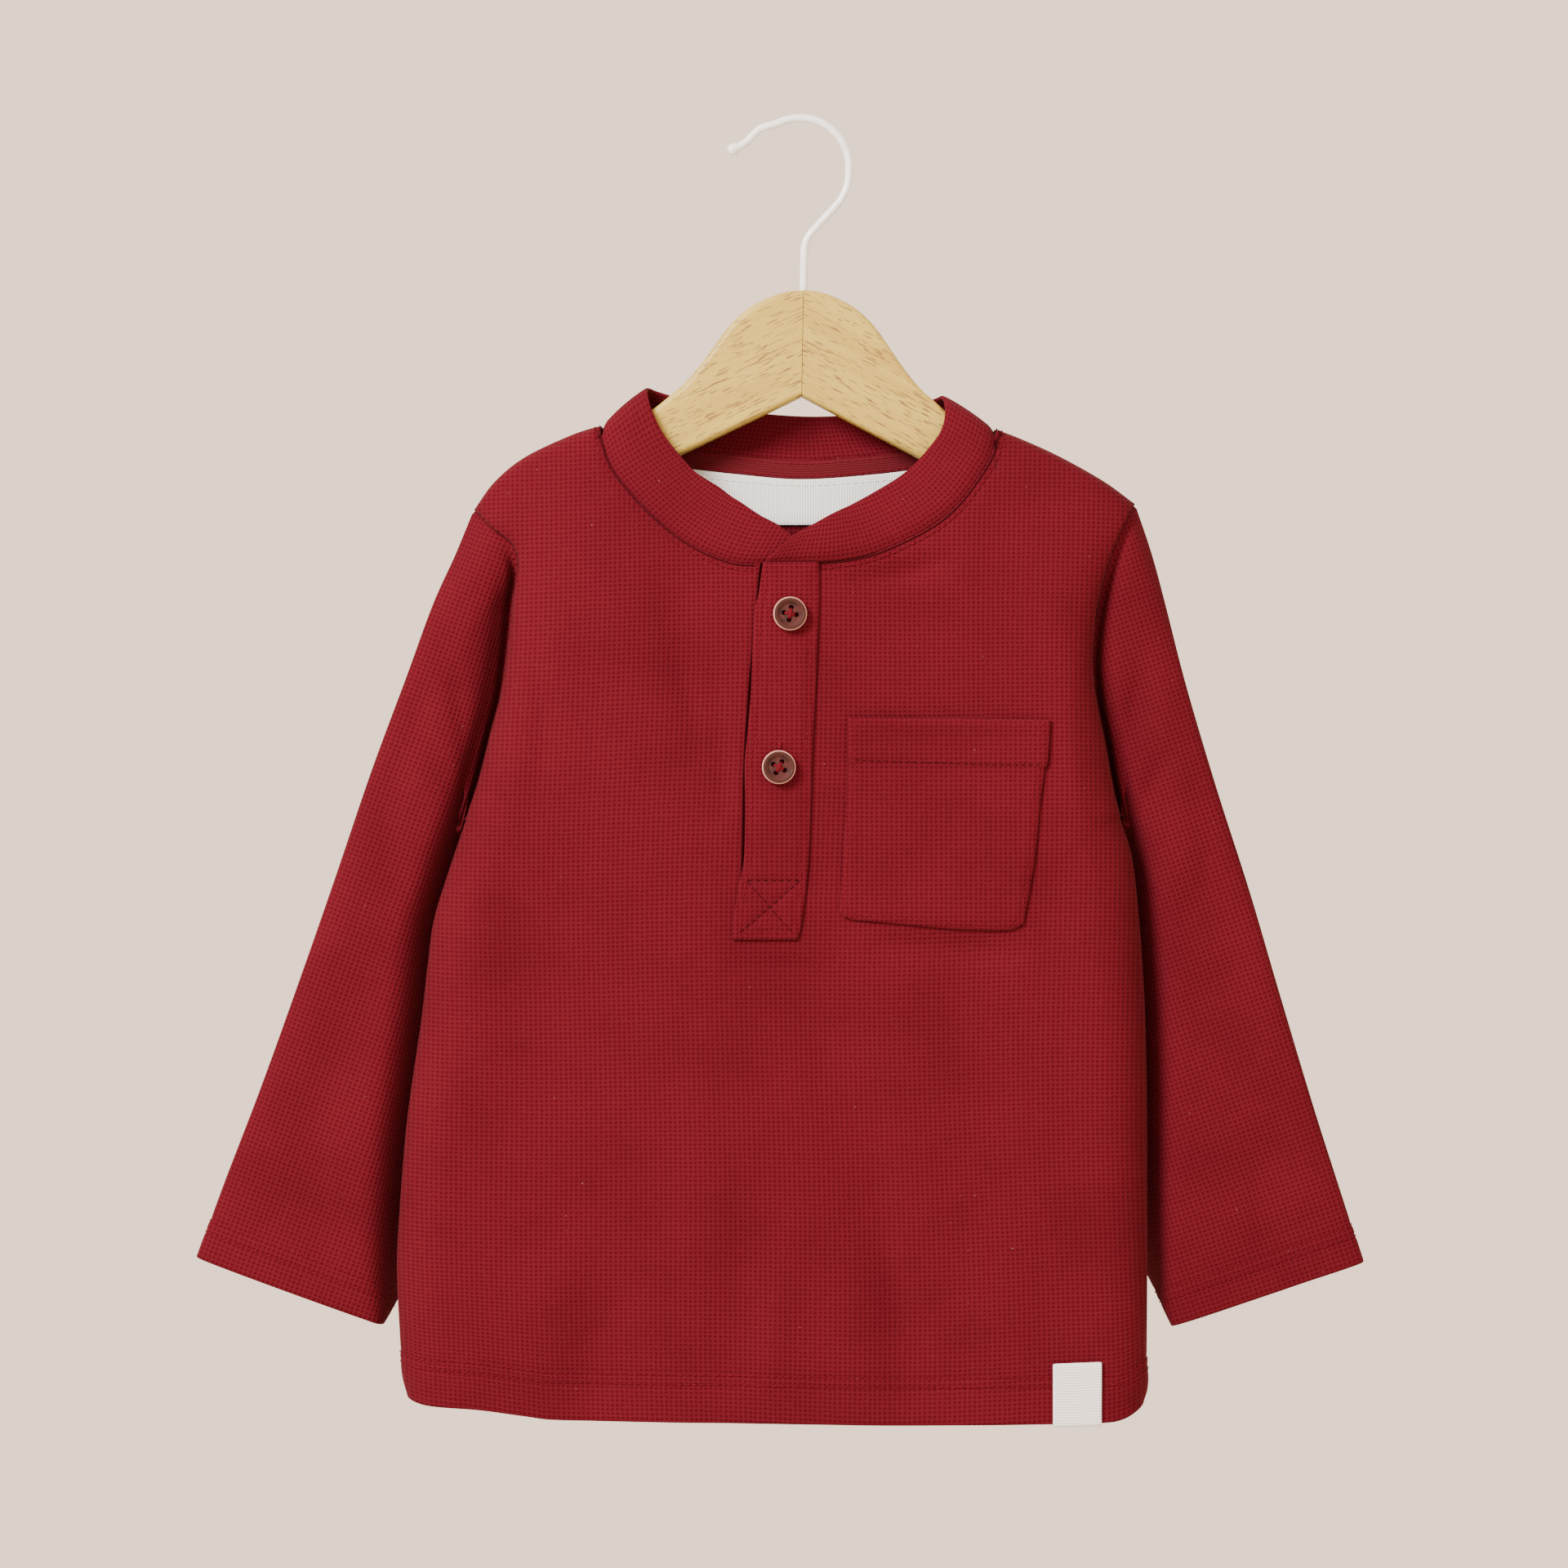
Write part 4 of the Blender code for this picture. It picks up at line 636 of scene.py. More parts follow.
# By side: armhole, side seam, sleeve, which way along x is inwards
SIDES = {
    "left": (ARMHOLE_LEFT, SIDE_LEFT, SLEEVE_LEFT, 1),
    "right": (ARMHOLE_RIGHT, SIDE_RIGHT, SLEEVE_RIGHT, -1),
}
EDGES = {panel: [side_edge(side, column) for side in SIDES] for panel, column in (("front", 2), ("back", 3))}
# By panel: which way along y is outwards, depth, folds, creases
PANELS = {
    "front": (-1, FRONT_DEPTH, FRONT_FOLDS, FRONT_CREASES),
    "back": (1, BACK_DEPTH, BACK_FOLDS, BACK_CREASES),
}


def panel_y(x, z, panel):
    """The y of a panel's outer surface at x, z."""
    x, z = np.asarray(x, float), np.asarray(z, float)
    toward, depth, folds, creases = PANELS[panel]
    drop = np.interp(x, SHOULDER[:, 0], SHOULDER[:, 1]) - z
    fall = np.clip(drop / DRAPE_DROP, 0, 1)
    out = RIDGE * roll(drop / RIDGE_DROP) + (depth - RIDGE) * (1 - (1 - fall) ** 2)
    out = out * (1 - HEM_DRAW_IN * ease((CHEST_Z - z) / (CHEST_Z - HEM_Z)))
    push = fold_depth(x, z, folds) - toward * (crease_depth(x, z, creases) + uneven(x, z))
    y = toward * out + push * ease(drop / DRAPE_DROP)
    for edge in EDGES[panel]:
        away, edge_y = near_edge(edge, x, z)
        y = edge_y + (y - edge_y) * roll(away / SIDE_ROLL)
    return y + toward * SEAM_HALF


def on_panel(plan, panel, lift=0.0):
    """Points x, z set on a panel's outer surface, moved out by lift."""
    x, z = plan[..., 0], plan[..., 1]
    return xyz(x, panel_y(x, z, panel) + PANELS[panel][0] * lift, z)


def panel_normals(line, panel):
    """The outward normals of a panel's surface at the points of a line."""
    out = PANELS[panel][0]
    x, z = line[:, 0], line[:, 2]
    slope_x = (panel_y(x + NUDGE, z, panel) - panel_y(x - NUDGE, z, panel)) / (2 * NUDGE)
    slope_z = (panel_y(x, z + NUDGE, panel) - panel_y(x, z - NUDGE, panel)) / (2 * NUDGE)
    return unit(xyz(-slope_x * out, out, -slope_z * out))


# Meshes


def mesh_piece(name, points, faces, finish, weave=None, smooth=True):
    """A mesh of points in millimetres, as a piece of the object."""
    mesh = bpy.data.meshes.new(name)
    mesh.from_pydata((np.asarray(points) * MM).tolist(), [], faces)
    mesh.materials.append(finish)
    if smooth:
        mesh.shade_smooth()
    if weave is not None:
        layer = mesh.attributes.new("weave", "FLOAT_VECTOR", "POINT")
        layer.data.foreach_set("vector", np.asarray(weave, np.float32).ravel())
    return placed(name, mesh)


def placed(name, data):
    made = bpy.data.objects.new(name, data)
    bpy.context.scene.collection.objects.link(made)
    return made


def tube_faces(rings, sides, start=0):
    """The faces of a tube of rings of points, with its two ends."""
    number = start + np.arange(rings * sides).reshape(rings, sides)
    after = np.roll(number, -1, axis=1)
    walls = np.stack([number[:-1], after[:-1], after[1:], number[1:]], axis=-1)
    return walls.reshape(-1, 4).tolist() + [number[0, ::-1].tolist(), number[-1].tolist()]


def grid_quads(shape, closed=False, flip=False, skip=None):
    """Corner numbers of a grid's cells, without the cells that skip marks."""
    number = np.arange(shape[0] * shape[1]).reshape(shape[:2])
    if closed:
        number = np.concatenate([number, number[:, :1]], axis=1)
    quads = np.stack([number[:-1, :-1], number[:-1, 1:], number[1:, 1:], number[1:, :-1]], axis=-1)
    quads = quads[~skip] if skip is not None else quads.reshape(-1, 4)
    return quads[:, ::-1] if flip else quads


def point_normals(points, quads):
    across = points[quads[:, 2]] - points[quads[:, 0]]
    down = points[quads[:, 3]] - points[quads[:, 1]]
    facing = np.cross(across, down)
    normals = np.zeros_like(points)
    for corner in range(4):
        np.add.at(normals, quads[:, corner], facing)
    return unit(normals)


def grid_normals(grid, closed=False, flip=False):
    return point_normals(grid.reshape(-1, 3), grid_quads(grid.shape, closed, flip)).reshape(grid.shape)


def cloth(name, grid, weave, finish, thick=CLOTH, closed=False, skip=None, flip=False):
    """A thin wall whose outer face is a grid of points, with rounded edges.

    weave gives each grid point its place in the flat cloth, as width and length.
    """
    used, quads = np.unique(grid_quads(grid.shape, closed, flip, skip), return_inverse=True)
    quads = quads.reshape(-1, 4)
    count = len(used)
    outer = grid.reshape(-1, 3)[used]
    weave = np.column_stack([weave.reshape(-1, 2)[used], np.zeros(count)])
    normals = point_normals(outer, quads)
    inner = outer - normals * thick

    edges = np.concatenate([quads[:, [k, (k + 1) % 4]] for k in range(4)])
    rim = edges[~np.isin(edges[:, 0] * count + edges[:, 1], edges[:, 1] * count + edges[:, 0])]
    away = np.zeros_like(outer)
    way = np.cross(outer[rim[:, 1]] - outer[rim[:, 0]], normals[rim[:, 0]])
    for end in range(2):
        np.add.at(away, rim[:, end], way)
    around = np.unique(rim)
    place = np.zeros(count, int)
    place[around] = np.arange(len(around))
    points, weaves, ring = [outer, inner], [weave, weave], [rim]
    for k in range(RIM_STEPS):
        turn = math.pi * (k + 1) / (RIM_STEPS + 1)
        reach = normals[around] * math.cos(turn) + unit(away[around]) * math.sin(turn) * RIM_BULGE
        points.append((outer[around] + inner[around]) / 2 + reach * thick / 2)
        weaves.append(weave[around])
        ring.append(2 * count + k * len(around) + place[rim])
    ring.append(rim + count)
    faces = [quads, quads[:, ::-1] + count]
    for near, far in zip(ring[:-1], ring[1:]):
        faces.append(np.stack([near[:, 1], near[:, 0], far[:, 0], far[:, 1]], axis=-1))
    faces = np.concatenate(faces).tolist()
    return mesh_piece(name + FINE, np.concatenate(points), faces, finish, np.concatenate(weaves))


def draw_in(grid, normals, lines, depth=DIMPLE, width=DIMPLE_WIDTH):
    """The grid with its points pushed in along lines of points, as stitches do."""
    flat = grid.reshape(-1, 3)
    push = np.zeros(len(flat))
    for line in lines:
        low, high = line.min(0) - 3 * width, line.max(0) + 3 * width
        close = np.flatnonzero(((flat > low) & (flat < high)).all(axis=1))
        for block in np.array_split(close, len(close) // BLOCK + 1):
            away = np.linalg.norm(flat[block][:, None] - line[None], axis=2).min(axis=1)
            push[block] = np.maximum(push[block], depth * np.exp(-((away / width) ** 2)))
    return (flat - normals.reshape(-1, 3) * push[:, None]).reshape(grid.shape)


def stitches(name, line, normals, finish, pitch=STITCH_PITCH, length=STITCH_LENGTH, thick=STITCH_RADIUS):
    """Short threads along a line on the cloth, each rising from the cloth and dipping back."""
    run = run_of(line)
    count = max(1, int(run[-1] / pitch))
    places, rises, widths = np.asarray(STITCH_STATIONS).T
    middles = (np.arange(count) + 0.5) * run[-1] / count
    at = np.clip(middles[:, None] + places * length, 0, run[-1])
    centre = at_run(at, run, line)
    up = unit(at_run(at, run, normals))
    side = np.cross(up, np.broadcast_to(unit(centre[:, -1:] - centre[:, :1]), up.shape))
    centre = centre + up * (rises * thick)[:, None]
    turns = np.linspace(0, 2 * math.pi, STITCH_SIDES, endpoint=False)
    reach = (widths * thick)[:, None, None]
    ring = centre[:, :, None] + up[:, :, None] * np.cos(turns)[:, None] * reach
    ring = ring + side[:, :, None] * np.sin(turns)[:, None] * reach
    faces = []
    for k in range(count):
        faces += tube_faces(len(places), STITCH_SIDES, k * len(places) * STITCH_SIDES)
    return mesh_piece(name, ring.reshape(-1, 3), faces, finish)


def tubes(name, lines, radius, finish):
    """Threads along lines of points, all in one mesh."""
    points, faces, count = [], [], 0
    turns = np.linspace(0, 2 * math.pi, THREAD_SIDES, endpoint=False)
    for line in lines:
        way = unit(np.gradient(line, axis=0))
        side = unit(np.cross(way, (0.0, 1.0, 0.0)))
        reach = side[:, None] * np.cos(turns)[:, None] + np.cross(side, way)[:, None] * np.sin(turns)[:, None]
        points.append((line[:, None] + radius * reach).reshape(-1, 3))
        faces += tube_faces(len(line), THREAD_SIDES, count)
        count += len(points[-1])
    return mesh_piece(name, np.concatenate(points), faces, finish)


# The body's panels


def panel_halves(necks, inners, hem_table):
    """Plan grids of a panel's halves, each from its side edge to an inner column, top to hem."""
    places = refine(PANEL_COLUMNS_MM, CLOTH_STEP)
    neck_column = int(np.argmin(np.abs(places - NECK_COLUMN_MM)))
    us = places / places[-1]
    at_neck = us[neck_column]
    upper, lower = refine(UPPER_ROWS, UPPER_STEP), refine(LOWER_ROWS, LOWER_STEP)
    hem = smooth_curve(hem_table)
    hem_run = run_of(hem) / run_of(hem)[-1]
    shoulders = smooth_curve(SHOULDER_LEFT), smooth_curve(SHOULDER_RIGHT)[::-1]
    halves = []
    parts = zip((0, 1), necks, inners, shoulders, SIDES.values())
    for share, neck, inner, shoulder, (armhole, side, *_) in parts:
        foot_x = inner[-1][0]
        hem_share, foot_z = (np.interp(foot_x, hem[:, 0], column) for column in (hem_run, hem[:, 1]))
        foot = resample(np.asarray([inner[-1], (foot_x, foot_z)]), lower)
        shoulder_part = resample(shoulder, us[: neck_column + 1] / at_neck)
        neck_part = resample(neck, (us[neck_column:] - at_neck) / (1 - at_neck))
        top = np.vstack([shoulder_part, neck_part[1:]])
        hole = resample(smooth_curve([row[:2] for row in armhole]), upper)
        inner = resample(inner, upper)
        waist = hole[-1] + (inner[-1] - hole[-1]) * us[:, None]
        hem_part = resample(hem, share + (hem_share - share) * us)
        # The armhole's curve dies out before the neckline
        above = patch(top, waist, hole, inner, ease(us / at_neck), upper)
        below = patch(waist, hem_part, resample(smooth_curve(side), lower), foot, us, lower)
        halves.append(np.vstack([above, below[1:]]))
    return halves


def front_grid():
    """The front's plan, and the cells of it that the opening leaves out."""
    necks = smooth_curve([*NECK_LEFT, OPENING_LEFT[0]]), smooth_curve(NECK_RIGHT)[::-1]
    edges = smooth_curve(OPENING_LEFT), smooth_curve(OPENING_RIGHT)
    left, right = panel_halves(necks, edges, FRONT_HEM)
    shares = np.arange(1, OPENING_COLUMNS)[:, None] / OPENING_COLUMNS
    between = left[:, -1:] + (right[:, -1:] - left[:, -1:]) * shares
    plan = np.concatenate([left, between, right[:, ::-1]], axis=1)
    opening = np.zeros((plan.shape[0] - 1, plan.shape[1] - 1), bool)
    first = left.shape[1] - 1
    opening[: len(refine(UPPER_ROWS, UPPER_STEP)) - 1, first : first + OPENING_COLUMNS] = True
    return plan, opening


def back_neck_halves():
    """The back neckline's two halves, each from its neck point to the middle."""
    neck = smooth_curve(NECK_BACK)
    middle = int(np.argmin(np.abs(neck[:, 0])))
    return neck[: middle + 1], neck[middle:][::-1]


def back_grid():
    necks = back_neck_halves()
    centre = np.asarray([necks[0][-1], (necks[0][-1, 0], BACK_WAIST_Z)])
    left, right = panel_halves(necks, (centre, centre), BACK_HEM)
    return np.concatenate([left, right[:, -2::-1]], axis=1)


def below_seam(table, panel, distance):
    """A line on a panel that runs a distance outside a seam of its neckline."""
    seam = smooth_curve(table, ROW_STEPS)
    way = unit(np.gradient(seam, axis=0))
    return on_panel(seam + np.stack([way[:, 1], -way[:, 0]], axis=-1) * distance, panel)


def plan_weave(plan, hem_table):
    """Where each point of a panel lies in the flat cloth, whose ribs run straight down.

    The rows follow the hem near it, as the cloth was cut along them.
    """
    hem = smooth_curve(hem_table)
    x, z = plan[..., 0], plan[..., 1]
    edge = np.interp(x, hem[:, 0], hem[:, 1])
    down = z - (edge - hem[:, 1].min()) * (1 - ease((z - edge) / WEAVE_FOLLOW))
    down = down + WEAVE_WARP * np.sin(x / 61.0 + z / 97.0) + WEAVE_WARP / 2 * np.sin(x / 23.0)
    across = x + WEAVE_WARP * np.sin(z / 71.0) + WEAVE_WARP / 2 * np.sin(z / 29.0 + x / 57.0)
    return np.stack([across, down], axis=-1)


def sewn(grid, distances, closed=False, flip=False, more=(), seams=()):
    """The grid as sewn cloth: a swollen hem, rows of stitches and seams. Also those rows' lines."""
    normals = grid_normals(grid, closed, flip)
    runs = np.stack([run_of(column[::-1])[::-1] for column in grid.transpose(1, 0, 2)], axis=1)
    swell = HEM_SWELL * ease((distances[-1] + HEM_SWELL_ABOVE - runs) / HEM_SWELL_FADE)
    grid = grid + normals * swell[..., None]
    columns = grid.transpose(1, 0, 2)[:, ::-1]
    lines = [np.asarray([at_run(away, run_of(column), column) for column in columns]) for away in distances]
    grid = draw_in(grid, normals, [*lines, *more])
    grid = draw_in(grid, normals, seams, SEAM_DEPTH, SEAM_WIDTH)
    flat, ways = grid.reshape(-1, 3), normals.reshape(-1, 3)
    nearest = [[np.argmin(((flat - place) ** 2).sum(axis=1)) for place in line] for line in lines]
    return grid, [(line, ways[picked]) for line, picked in zip(lines, nearest)]


def front_panel():
    plan, opening = front_grid()
    necks = NECK_LEFT, NECK_RIGHT
    necklines = [below_seam(table, "front", NECK_ROW) for table in necks]
    seams = [on_panel(smooth_curve(table, SEAM_STEPS), "front") for table in necks]
    grid, hem_lines = sewn(on_panel(plan, "front"), HEM_ROWS, flip=True, more=necklines, seams=seams)
    made = cloth("front", grid, plan_weave(plan, FRONT_HEM), KNIT, skip=opening, flip=True)
    rows = [stitches(f"hem_row_{k}", *row, THREAD) for k, row in enumerate(hem_lines)]
    for k, line in enumerate(necklines):
        seen = line[(line[:, 0] < NECK_ROW_ENDS[0]) | (line[:, 0] > NECK_ROW_ENDS[1])]
        rows.append(stitches(f"neck_row_{k}", seen, panel_normals(seen, "front"), THREAD))
    # Painted shade: near-black tubes, sunk a little into the cloth along the neckline seams and the upper
    # armhole seams, stand in for the shadow in those grooves
    left, right = (below_seam(table, "front", SHADE_LINE_OUT) for table in necks)
    lines = [left[left[:, 0] < SHADE_LINE_ENDS[0]], right[right[:, 0] > SHADE_LINE_ENDS[1]]]
    for table in (ARMHOLE_LEFT, ARMHOLE_RIGHT):
        upper = [row[:2] for row in table[: ARMHOLE_SHADE_ROWS + 1]]
        lines.append(on_panel(smooth_curve(upper, SEAM_STEPS), "front"))
    lines = [line + panel_normals(line, "front") * SHADE_LINE_LIFT for line in lines]
    return made, [*rows, tubes("seams", lines, SHADE_LINE_RADIUS, SHADE_THREAD)]


def back_panel():
    plan = back_grid()
    neckline = below_seam(NECK_BACK[::-1], "back", -NECK_ROW)
    neckline = neckline[np.abs(neckline[:, 0]) < BACK_ROW_HALF]
    seams = [on_panel(smooth_curve(NECK_BACK, SEAM_STEPS), "back")]
    grid, hem_lines = sewn(on_panel(plan, "back"), HEM_ROWS, more=[neckline], seams=seams)
    made = cloth("back", grid, plan_weave(plan, BACK_HEM), KNIT)
    rows = [stitches(f"back_hem_row_{k}", *row, THREAD) for k, row in enumerate(hem_lines)]
    rows.append(stitches("back_neck_row", neckline, panel_normals(neckline, "back"), THREAD))
    return made, rows


# Sleeves


def body_side(x, z, side):
    """How far x, z lies inside the body's side edge, negative outside it."""
    line = EDGES["front"][side == "right"]
    return (x - np.interp(-z, -line[:, 1], line[:, 0])) * SIDES[side][3]


def armhole_trough(x, z, side):
    """How far the sleeve sinks beside the body, below the shoulder and down to the underarm."""
    depth, width = SLEEVE_TROUGH[side]
    away = near_edge(EDGES["front"][side == "right"], x, z)[0]
    fade = ease((TROUGH_FROM_Z - z) / TROUGH_FADE) * ease((z - TROUGH_TO_Z) / TROUGH_FADE)
    return depth * fade * roll(away / TROUGH_EDGE) * np.exp(-((away / width) ** 2))


def sleeve(side):
    """A tube from the armhole to the cuff that swings behind the body's side below the underarm."""
    armhole, _, table, inward = SIDES[side]
    across = 0.5 - 0.5 * np.cos(np.linspace(0, math.pi, SLEEVE_COLUMNS + 1))
    hole = resample(smooth_curve(armhole), across)
    hole_front, hole_back = hole[:, [0, 2, 1]], hole[:, [0, 3, 1]]
    bow = hole_front - hole_front[0] - (hole_front[-1] - hole_front[0]) * across[:, None]
    shape = (1 - np.abs(2 * across - 1) ** SLEEVE_POWER) ** (1 / SLEEVE_POWER)

    way = unit(np.gradient(hole[:, :2], axis=0))
    tuck = ease((across - SLEEVE_TUCK_FROM) / SLEEVE_TUCK_FADE)
    head = ease(across / SLEEVE_HEAD_SHARE)
    parting = -inward * SLEEVE_TUCK * xyz(way[:, 1], 0, -way[:, 0])
    parting[:, 2] -= SLEEVE_HEAD_DROP * (1 - head)
    deep = SLEEVE_TUCK_DEEP * tuck * (1 - across ** SLEEVE_TUCK_POWER) + SLEEVE_HEAD_DEEP * (1 - tuck) * head
    sink = xyz(0, deep, 0)
    rings = [np.vstack([hole_front + parting + sink, (hole_back + parting - sink)[-2:0:-1]])]

    for outer_x, outer_z, inner_x, inner_z, half, own in smooth_curve(table, SLEEVE_STEPS)[1:]:
        own = max(own, 0.0)
        x = outer_x + (inner_x - outer_x) * across + bow[:, 0] * own
        z = outer_z + (inner_z - outer_z) * across + bow[:, 2] * own
        inside = body_side(x, z, side)
        behind = ease((inside - SLEEVE_STEP_FROM) / (SLEEVE_STEP_TO - SLEEVE_STEP_FROM))
        middle = SLEEVE_OUTER_Y[side] * ease(1 - own) * np.minimum(1, SLEEVE_EDGE_RISE * across)
        middle = middle + (SLEEVE_BEHIND_Y - middle) * behind
        folds = fold_depth(x, z, SLEEVE_FOLDS[side]) * shape
        creases = crease_depth(x, z, SLEEVE_CREASES[side]) * shape
        rough = uneven(x + SLEEVE_UNEVEN_SHIFT, z) * shape
        front_y = middle - half * shape + folds + creases + rough
        back_y = middle + half * shape + folds / 2 - creases / 2 + rough
        front_y, back_y = (
            edge[:, 1] * own + y * (1 - own) for edge, y in ((hole_front, front_y), (hole_back, back_y))
        )
        clear_y = panel_y(x + inward * SLEEVE_MARGIN, z, "back") + SLEEVE_CLEAR
        under = ease((inside + SLEEVE_MARGIN) / SLEEVE_MARGIN)
        front_y = np.maximum(front_y, clear_y * under + front_y * (1 - under))
        front_y = front_y + armhole_trough(x, z, side)
        back_y = np.maximum(back_y, front_y + SLEEVE_LEAST * shape * (1 - own))
        rings.append(np.vstack([xyz(x, front_y, z), xyz(x, back_y, z)[-2:0:-1]]))
    grid = np.stack(rings)
    for _ in range(SLEEVE_SMOOTHING):
        y = grid[..., 1]
        y[1:-1] = smoothed(y)
        y[1:] = ((np.roll(y, 1, axis=1) + 2 * y + np.roll(y, -1, axis=1)) / 4)[1:]
    weave = sleeve_weave(grid, len(across))
    flip = side == "left"
    grid, lines = sewn(grid, CUFF_ROWS, closed=True, flip=flip)
    made = cloth(f"sleeve_{side}", grid, weave, KNIT, closed=True, flip=flip)
    rows = []
    for k, row in enumerate(lines):
        line, normals = (np.vstack([values, values[:1]]) for values in row)
        rows.append(stitches(f"sleeve_{side}_row_{k}", line, normals, THREAD))
    return made, rows


def sleeve_weave(grid, half):
    """Each point's place in the flat sleeve: round it from its outer edge, and straight along it."""
    away = grid[..., [0, 2]] - grid[-1, 0, [0, 2]]
    cuff = unit(away[-1, half - 1])
    across = away @ cuff
    along = away[..., 0] * cuff[1] - away[..., 1] * cuff[0]
    steps = np.hypot(np.diff(across, axis=1), np.diff(grid[..., 1], axis=1))
    last = np.hypot(across[:, -1] - across[:, 0], grid[:, -1, 1] - grid[:, 0, 1])[:, None]
    round_front = np.cumsum(steps[:, : half - 1], axis=1)
    round_back = np.cumsum(np.concatenate([last, steps[:, : half - 1 : -1]], axis=1), axis=1)[:, ::-1]
    start = across[:, :1]
    run = np.concatenate([start, start + round_front, start - round_back], axis=1)
    return np.stack([run, along], axis=-1)


# Collar, placket and pocket


def top_points(seam_table, top_table, plan):
    """The collar's top edge above each point of plan, from the tables' nearest place."""
    fine = smooth_curve(np.hstack([seam_table, top_table]), TOP_STEPS)
    nearest = [np.argmin(np.hypot(fine[:, 0] - x, fine[:, 1] - z)) for x, z in plan]
    return fine[nearest, 2:]


def lap_points(table, seam, top):
    """A lap's stations between its table's rows and the band's own end."""
    rows = np.vstack([table, [(*seam, *top)]])
    return at_run(np.linspace(0, 1, LAP_STATIONS), np.linspace(0, 1, len(rows)), rows)[:-1]


def collar_band():
    """The band round the neck, sewn to the panels' necklines."""
    lift = CLOTH + GAP
    stations, back_stations = np.linspace(0, 1, COLLAR_STATIONS), np.linspace(0, 1, BACK_STATIONS)
    right, left = (resample(smooth_curve(table), stations) for table in (NECK_RIGHT, NECK_LEFT))
    back_left, back_right = (resample(half, back_stations) for half in back_neck_halves())
    back = np.vstack([back_right[1:], back_left[-2::-1]])
    right_top = top_points(NECK_RIGHT, COLLAR_RIGHT, right)
    left_top = top_points(NECK_LEFT, COLLAR_LEFT, left)
    over = lap_points(COLLAR_LAP_OVER, right[0], right_top[0])
    under = lap_points(COLLAR_LAP_UNDER[::-1], left[-1], left_top[-1])[::-1]
    seam = [on_panel(over[:, :2], "front", lift), on_panel(right, "front"), on_panel(back, "back")]
    seam[1][:, 1] -= lift * ease(1 - stations / COLLAR_LIFT_SHARE)
    seam[1][-1, 1] = seam[2][-1, 1] = 0.0
    seam += [on_panel(left[1:], "front"), on_panel(under[:, :2], "front")]
    back_top = top_points(NECK_BACK, COLLAR_BACK, back)
    top = np.vstack([over[:, 2:], right_top, back_top, left_top[1:], under[:, 2:]])
    shoulders = (len(seam[0]) + len(seam[1]) - 1, sum(len(line) for line in seam[:3]) - 1)
    seam = np.vstack(seam)
    for _ in range(COLLAR_SMOOTHING):
        for line in (seam, top):
            line[1:-1] = smoothed(line)
    up = unit(top - seam)
    near = [np.linalg.norm(seam - seam[k], axis=1) for k in shoulders]
    sunk = SHOULDER_SEAT * np.exp(-((np.minimum(*near) / SHOULDER_REACH) ** 2))
    foot = seam + up * (COLLAR_SEAT - sunk)[:, None]
    out = unit(np.cross(np.gradient(seam, axis=0), up))
    run = run_of(seam)
    wave = COLLAR_WAVE * (np.sin(run / 8.3) + np.sin(run / 5.1 + 1.0)) / 2
    level = np.linspace(0, 1, COLLAR_LEVELS)[:, None]
    swell = np.sin(math.pi * level) ** COLLAR_CROWN
    push = (COLLAR_BULGE + wave) * swell - COLLAR_TUCK * (1 - ease(level * COLLAR_TUCK_RISE))
    grid = foot + (top - foot) * level[..., None] + out * push[..., None]
    weave = np.stack(np.broadcast_arrays(run, level * np.linalg.norm(top - foot, axis=1)), axis=-1)
    return cloth("collar", grid, weave, KNIT)


def strip(rows, count_down, count_across):
    """Plan grid of a strip given as rows of z, left x, right x."""
    z, left, right = resample(smooth_curve(rows), np.linspace(0, 1, count_down)).T[..., None]
    x = left + (right - left) * np.linspace(0, 1, count_across)
    return np.stack(np.broadcast_arrays(x, z), axis=-1)


def plan_edges(plan):
    """How far each point of a plan grid is from the grid's own edges."""
    rim = np.vstack([plan[0], plan[1:, -1], plan[-1, -2::-1], plan[-2::-1, 0]])
    edge = np.concatenate([rim, np.zeros((len(rim), 1))], axis=1)
    return near_edge(edge, plan[..., 0], plan[..., 1])[0]


def applied(name, plan, lines, depth, width, more=0.0):
    """A piece sewn flat on the front, its edges down on the cloth and its middle a little proud.

    Also its surface, as plan, points and normals.
    """
    grid = on_panel(plan, "front", APPLIED + APPLIED_CROWN * roll(plan_edges(plan) / APPLIED_ROLL) + more)
    normals = grid_normals(grid, flip=True)
    lines = [on_panel(dense(line), "front", APPLIED + APPLIED_CROWN) for line in lines]
    grid = draw_in(grid, normals, lines, depth, width)
    made = cloth(name, grid, plan - plan[0, 0], KNIT, thick=APPLIED, flip=True)
    return made, [values.reshape(-1, values.shape[-1]) for values in (plan, grid, normals)]


def on_surface(surface, line):
    """A plan line set on a piece's surface, with the surface's normals there."""
    plan, points, normals = surface
    places, ways = [], []
    for x, z in line:
        away = np.hypot(plan[:, 0] - x, plan[:, 1] - z)
        near = np.argsort(away)[:4]
        share = 1 / (away[near] + NEAR_SOFTNESS)
        share /= share.sum()
        places.append((x, share @ points[near, 1], z))
        ways.append(share @ normals[near])
    return np.asarray(places), np.asarray(ways)


def sewn_rows(name, surface, lines, dark):
    """Rows of stitches along lines of a piece, the ones numbered in dark in the near-black thread that paints
    the shade of their grooves.
    """
    rows = []
    for k, line in enumerate(lines):
        tone = SHADE_THREAD if k in dark else THREAD
        rows.append(stitches(f"{name}_row_{k}", *on_surface(surface, dense(line)), tone))
    return rows


def on_placket(z, share):
    """The place on the placket at z, and at a share of its width from the left."""
    table = np.asarray(PLACKET)
    left, right = at_run(-z, -table[:, 0], table[:, 1:])
    return (left + (right - left) * share, z)


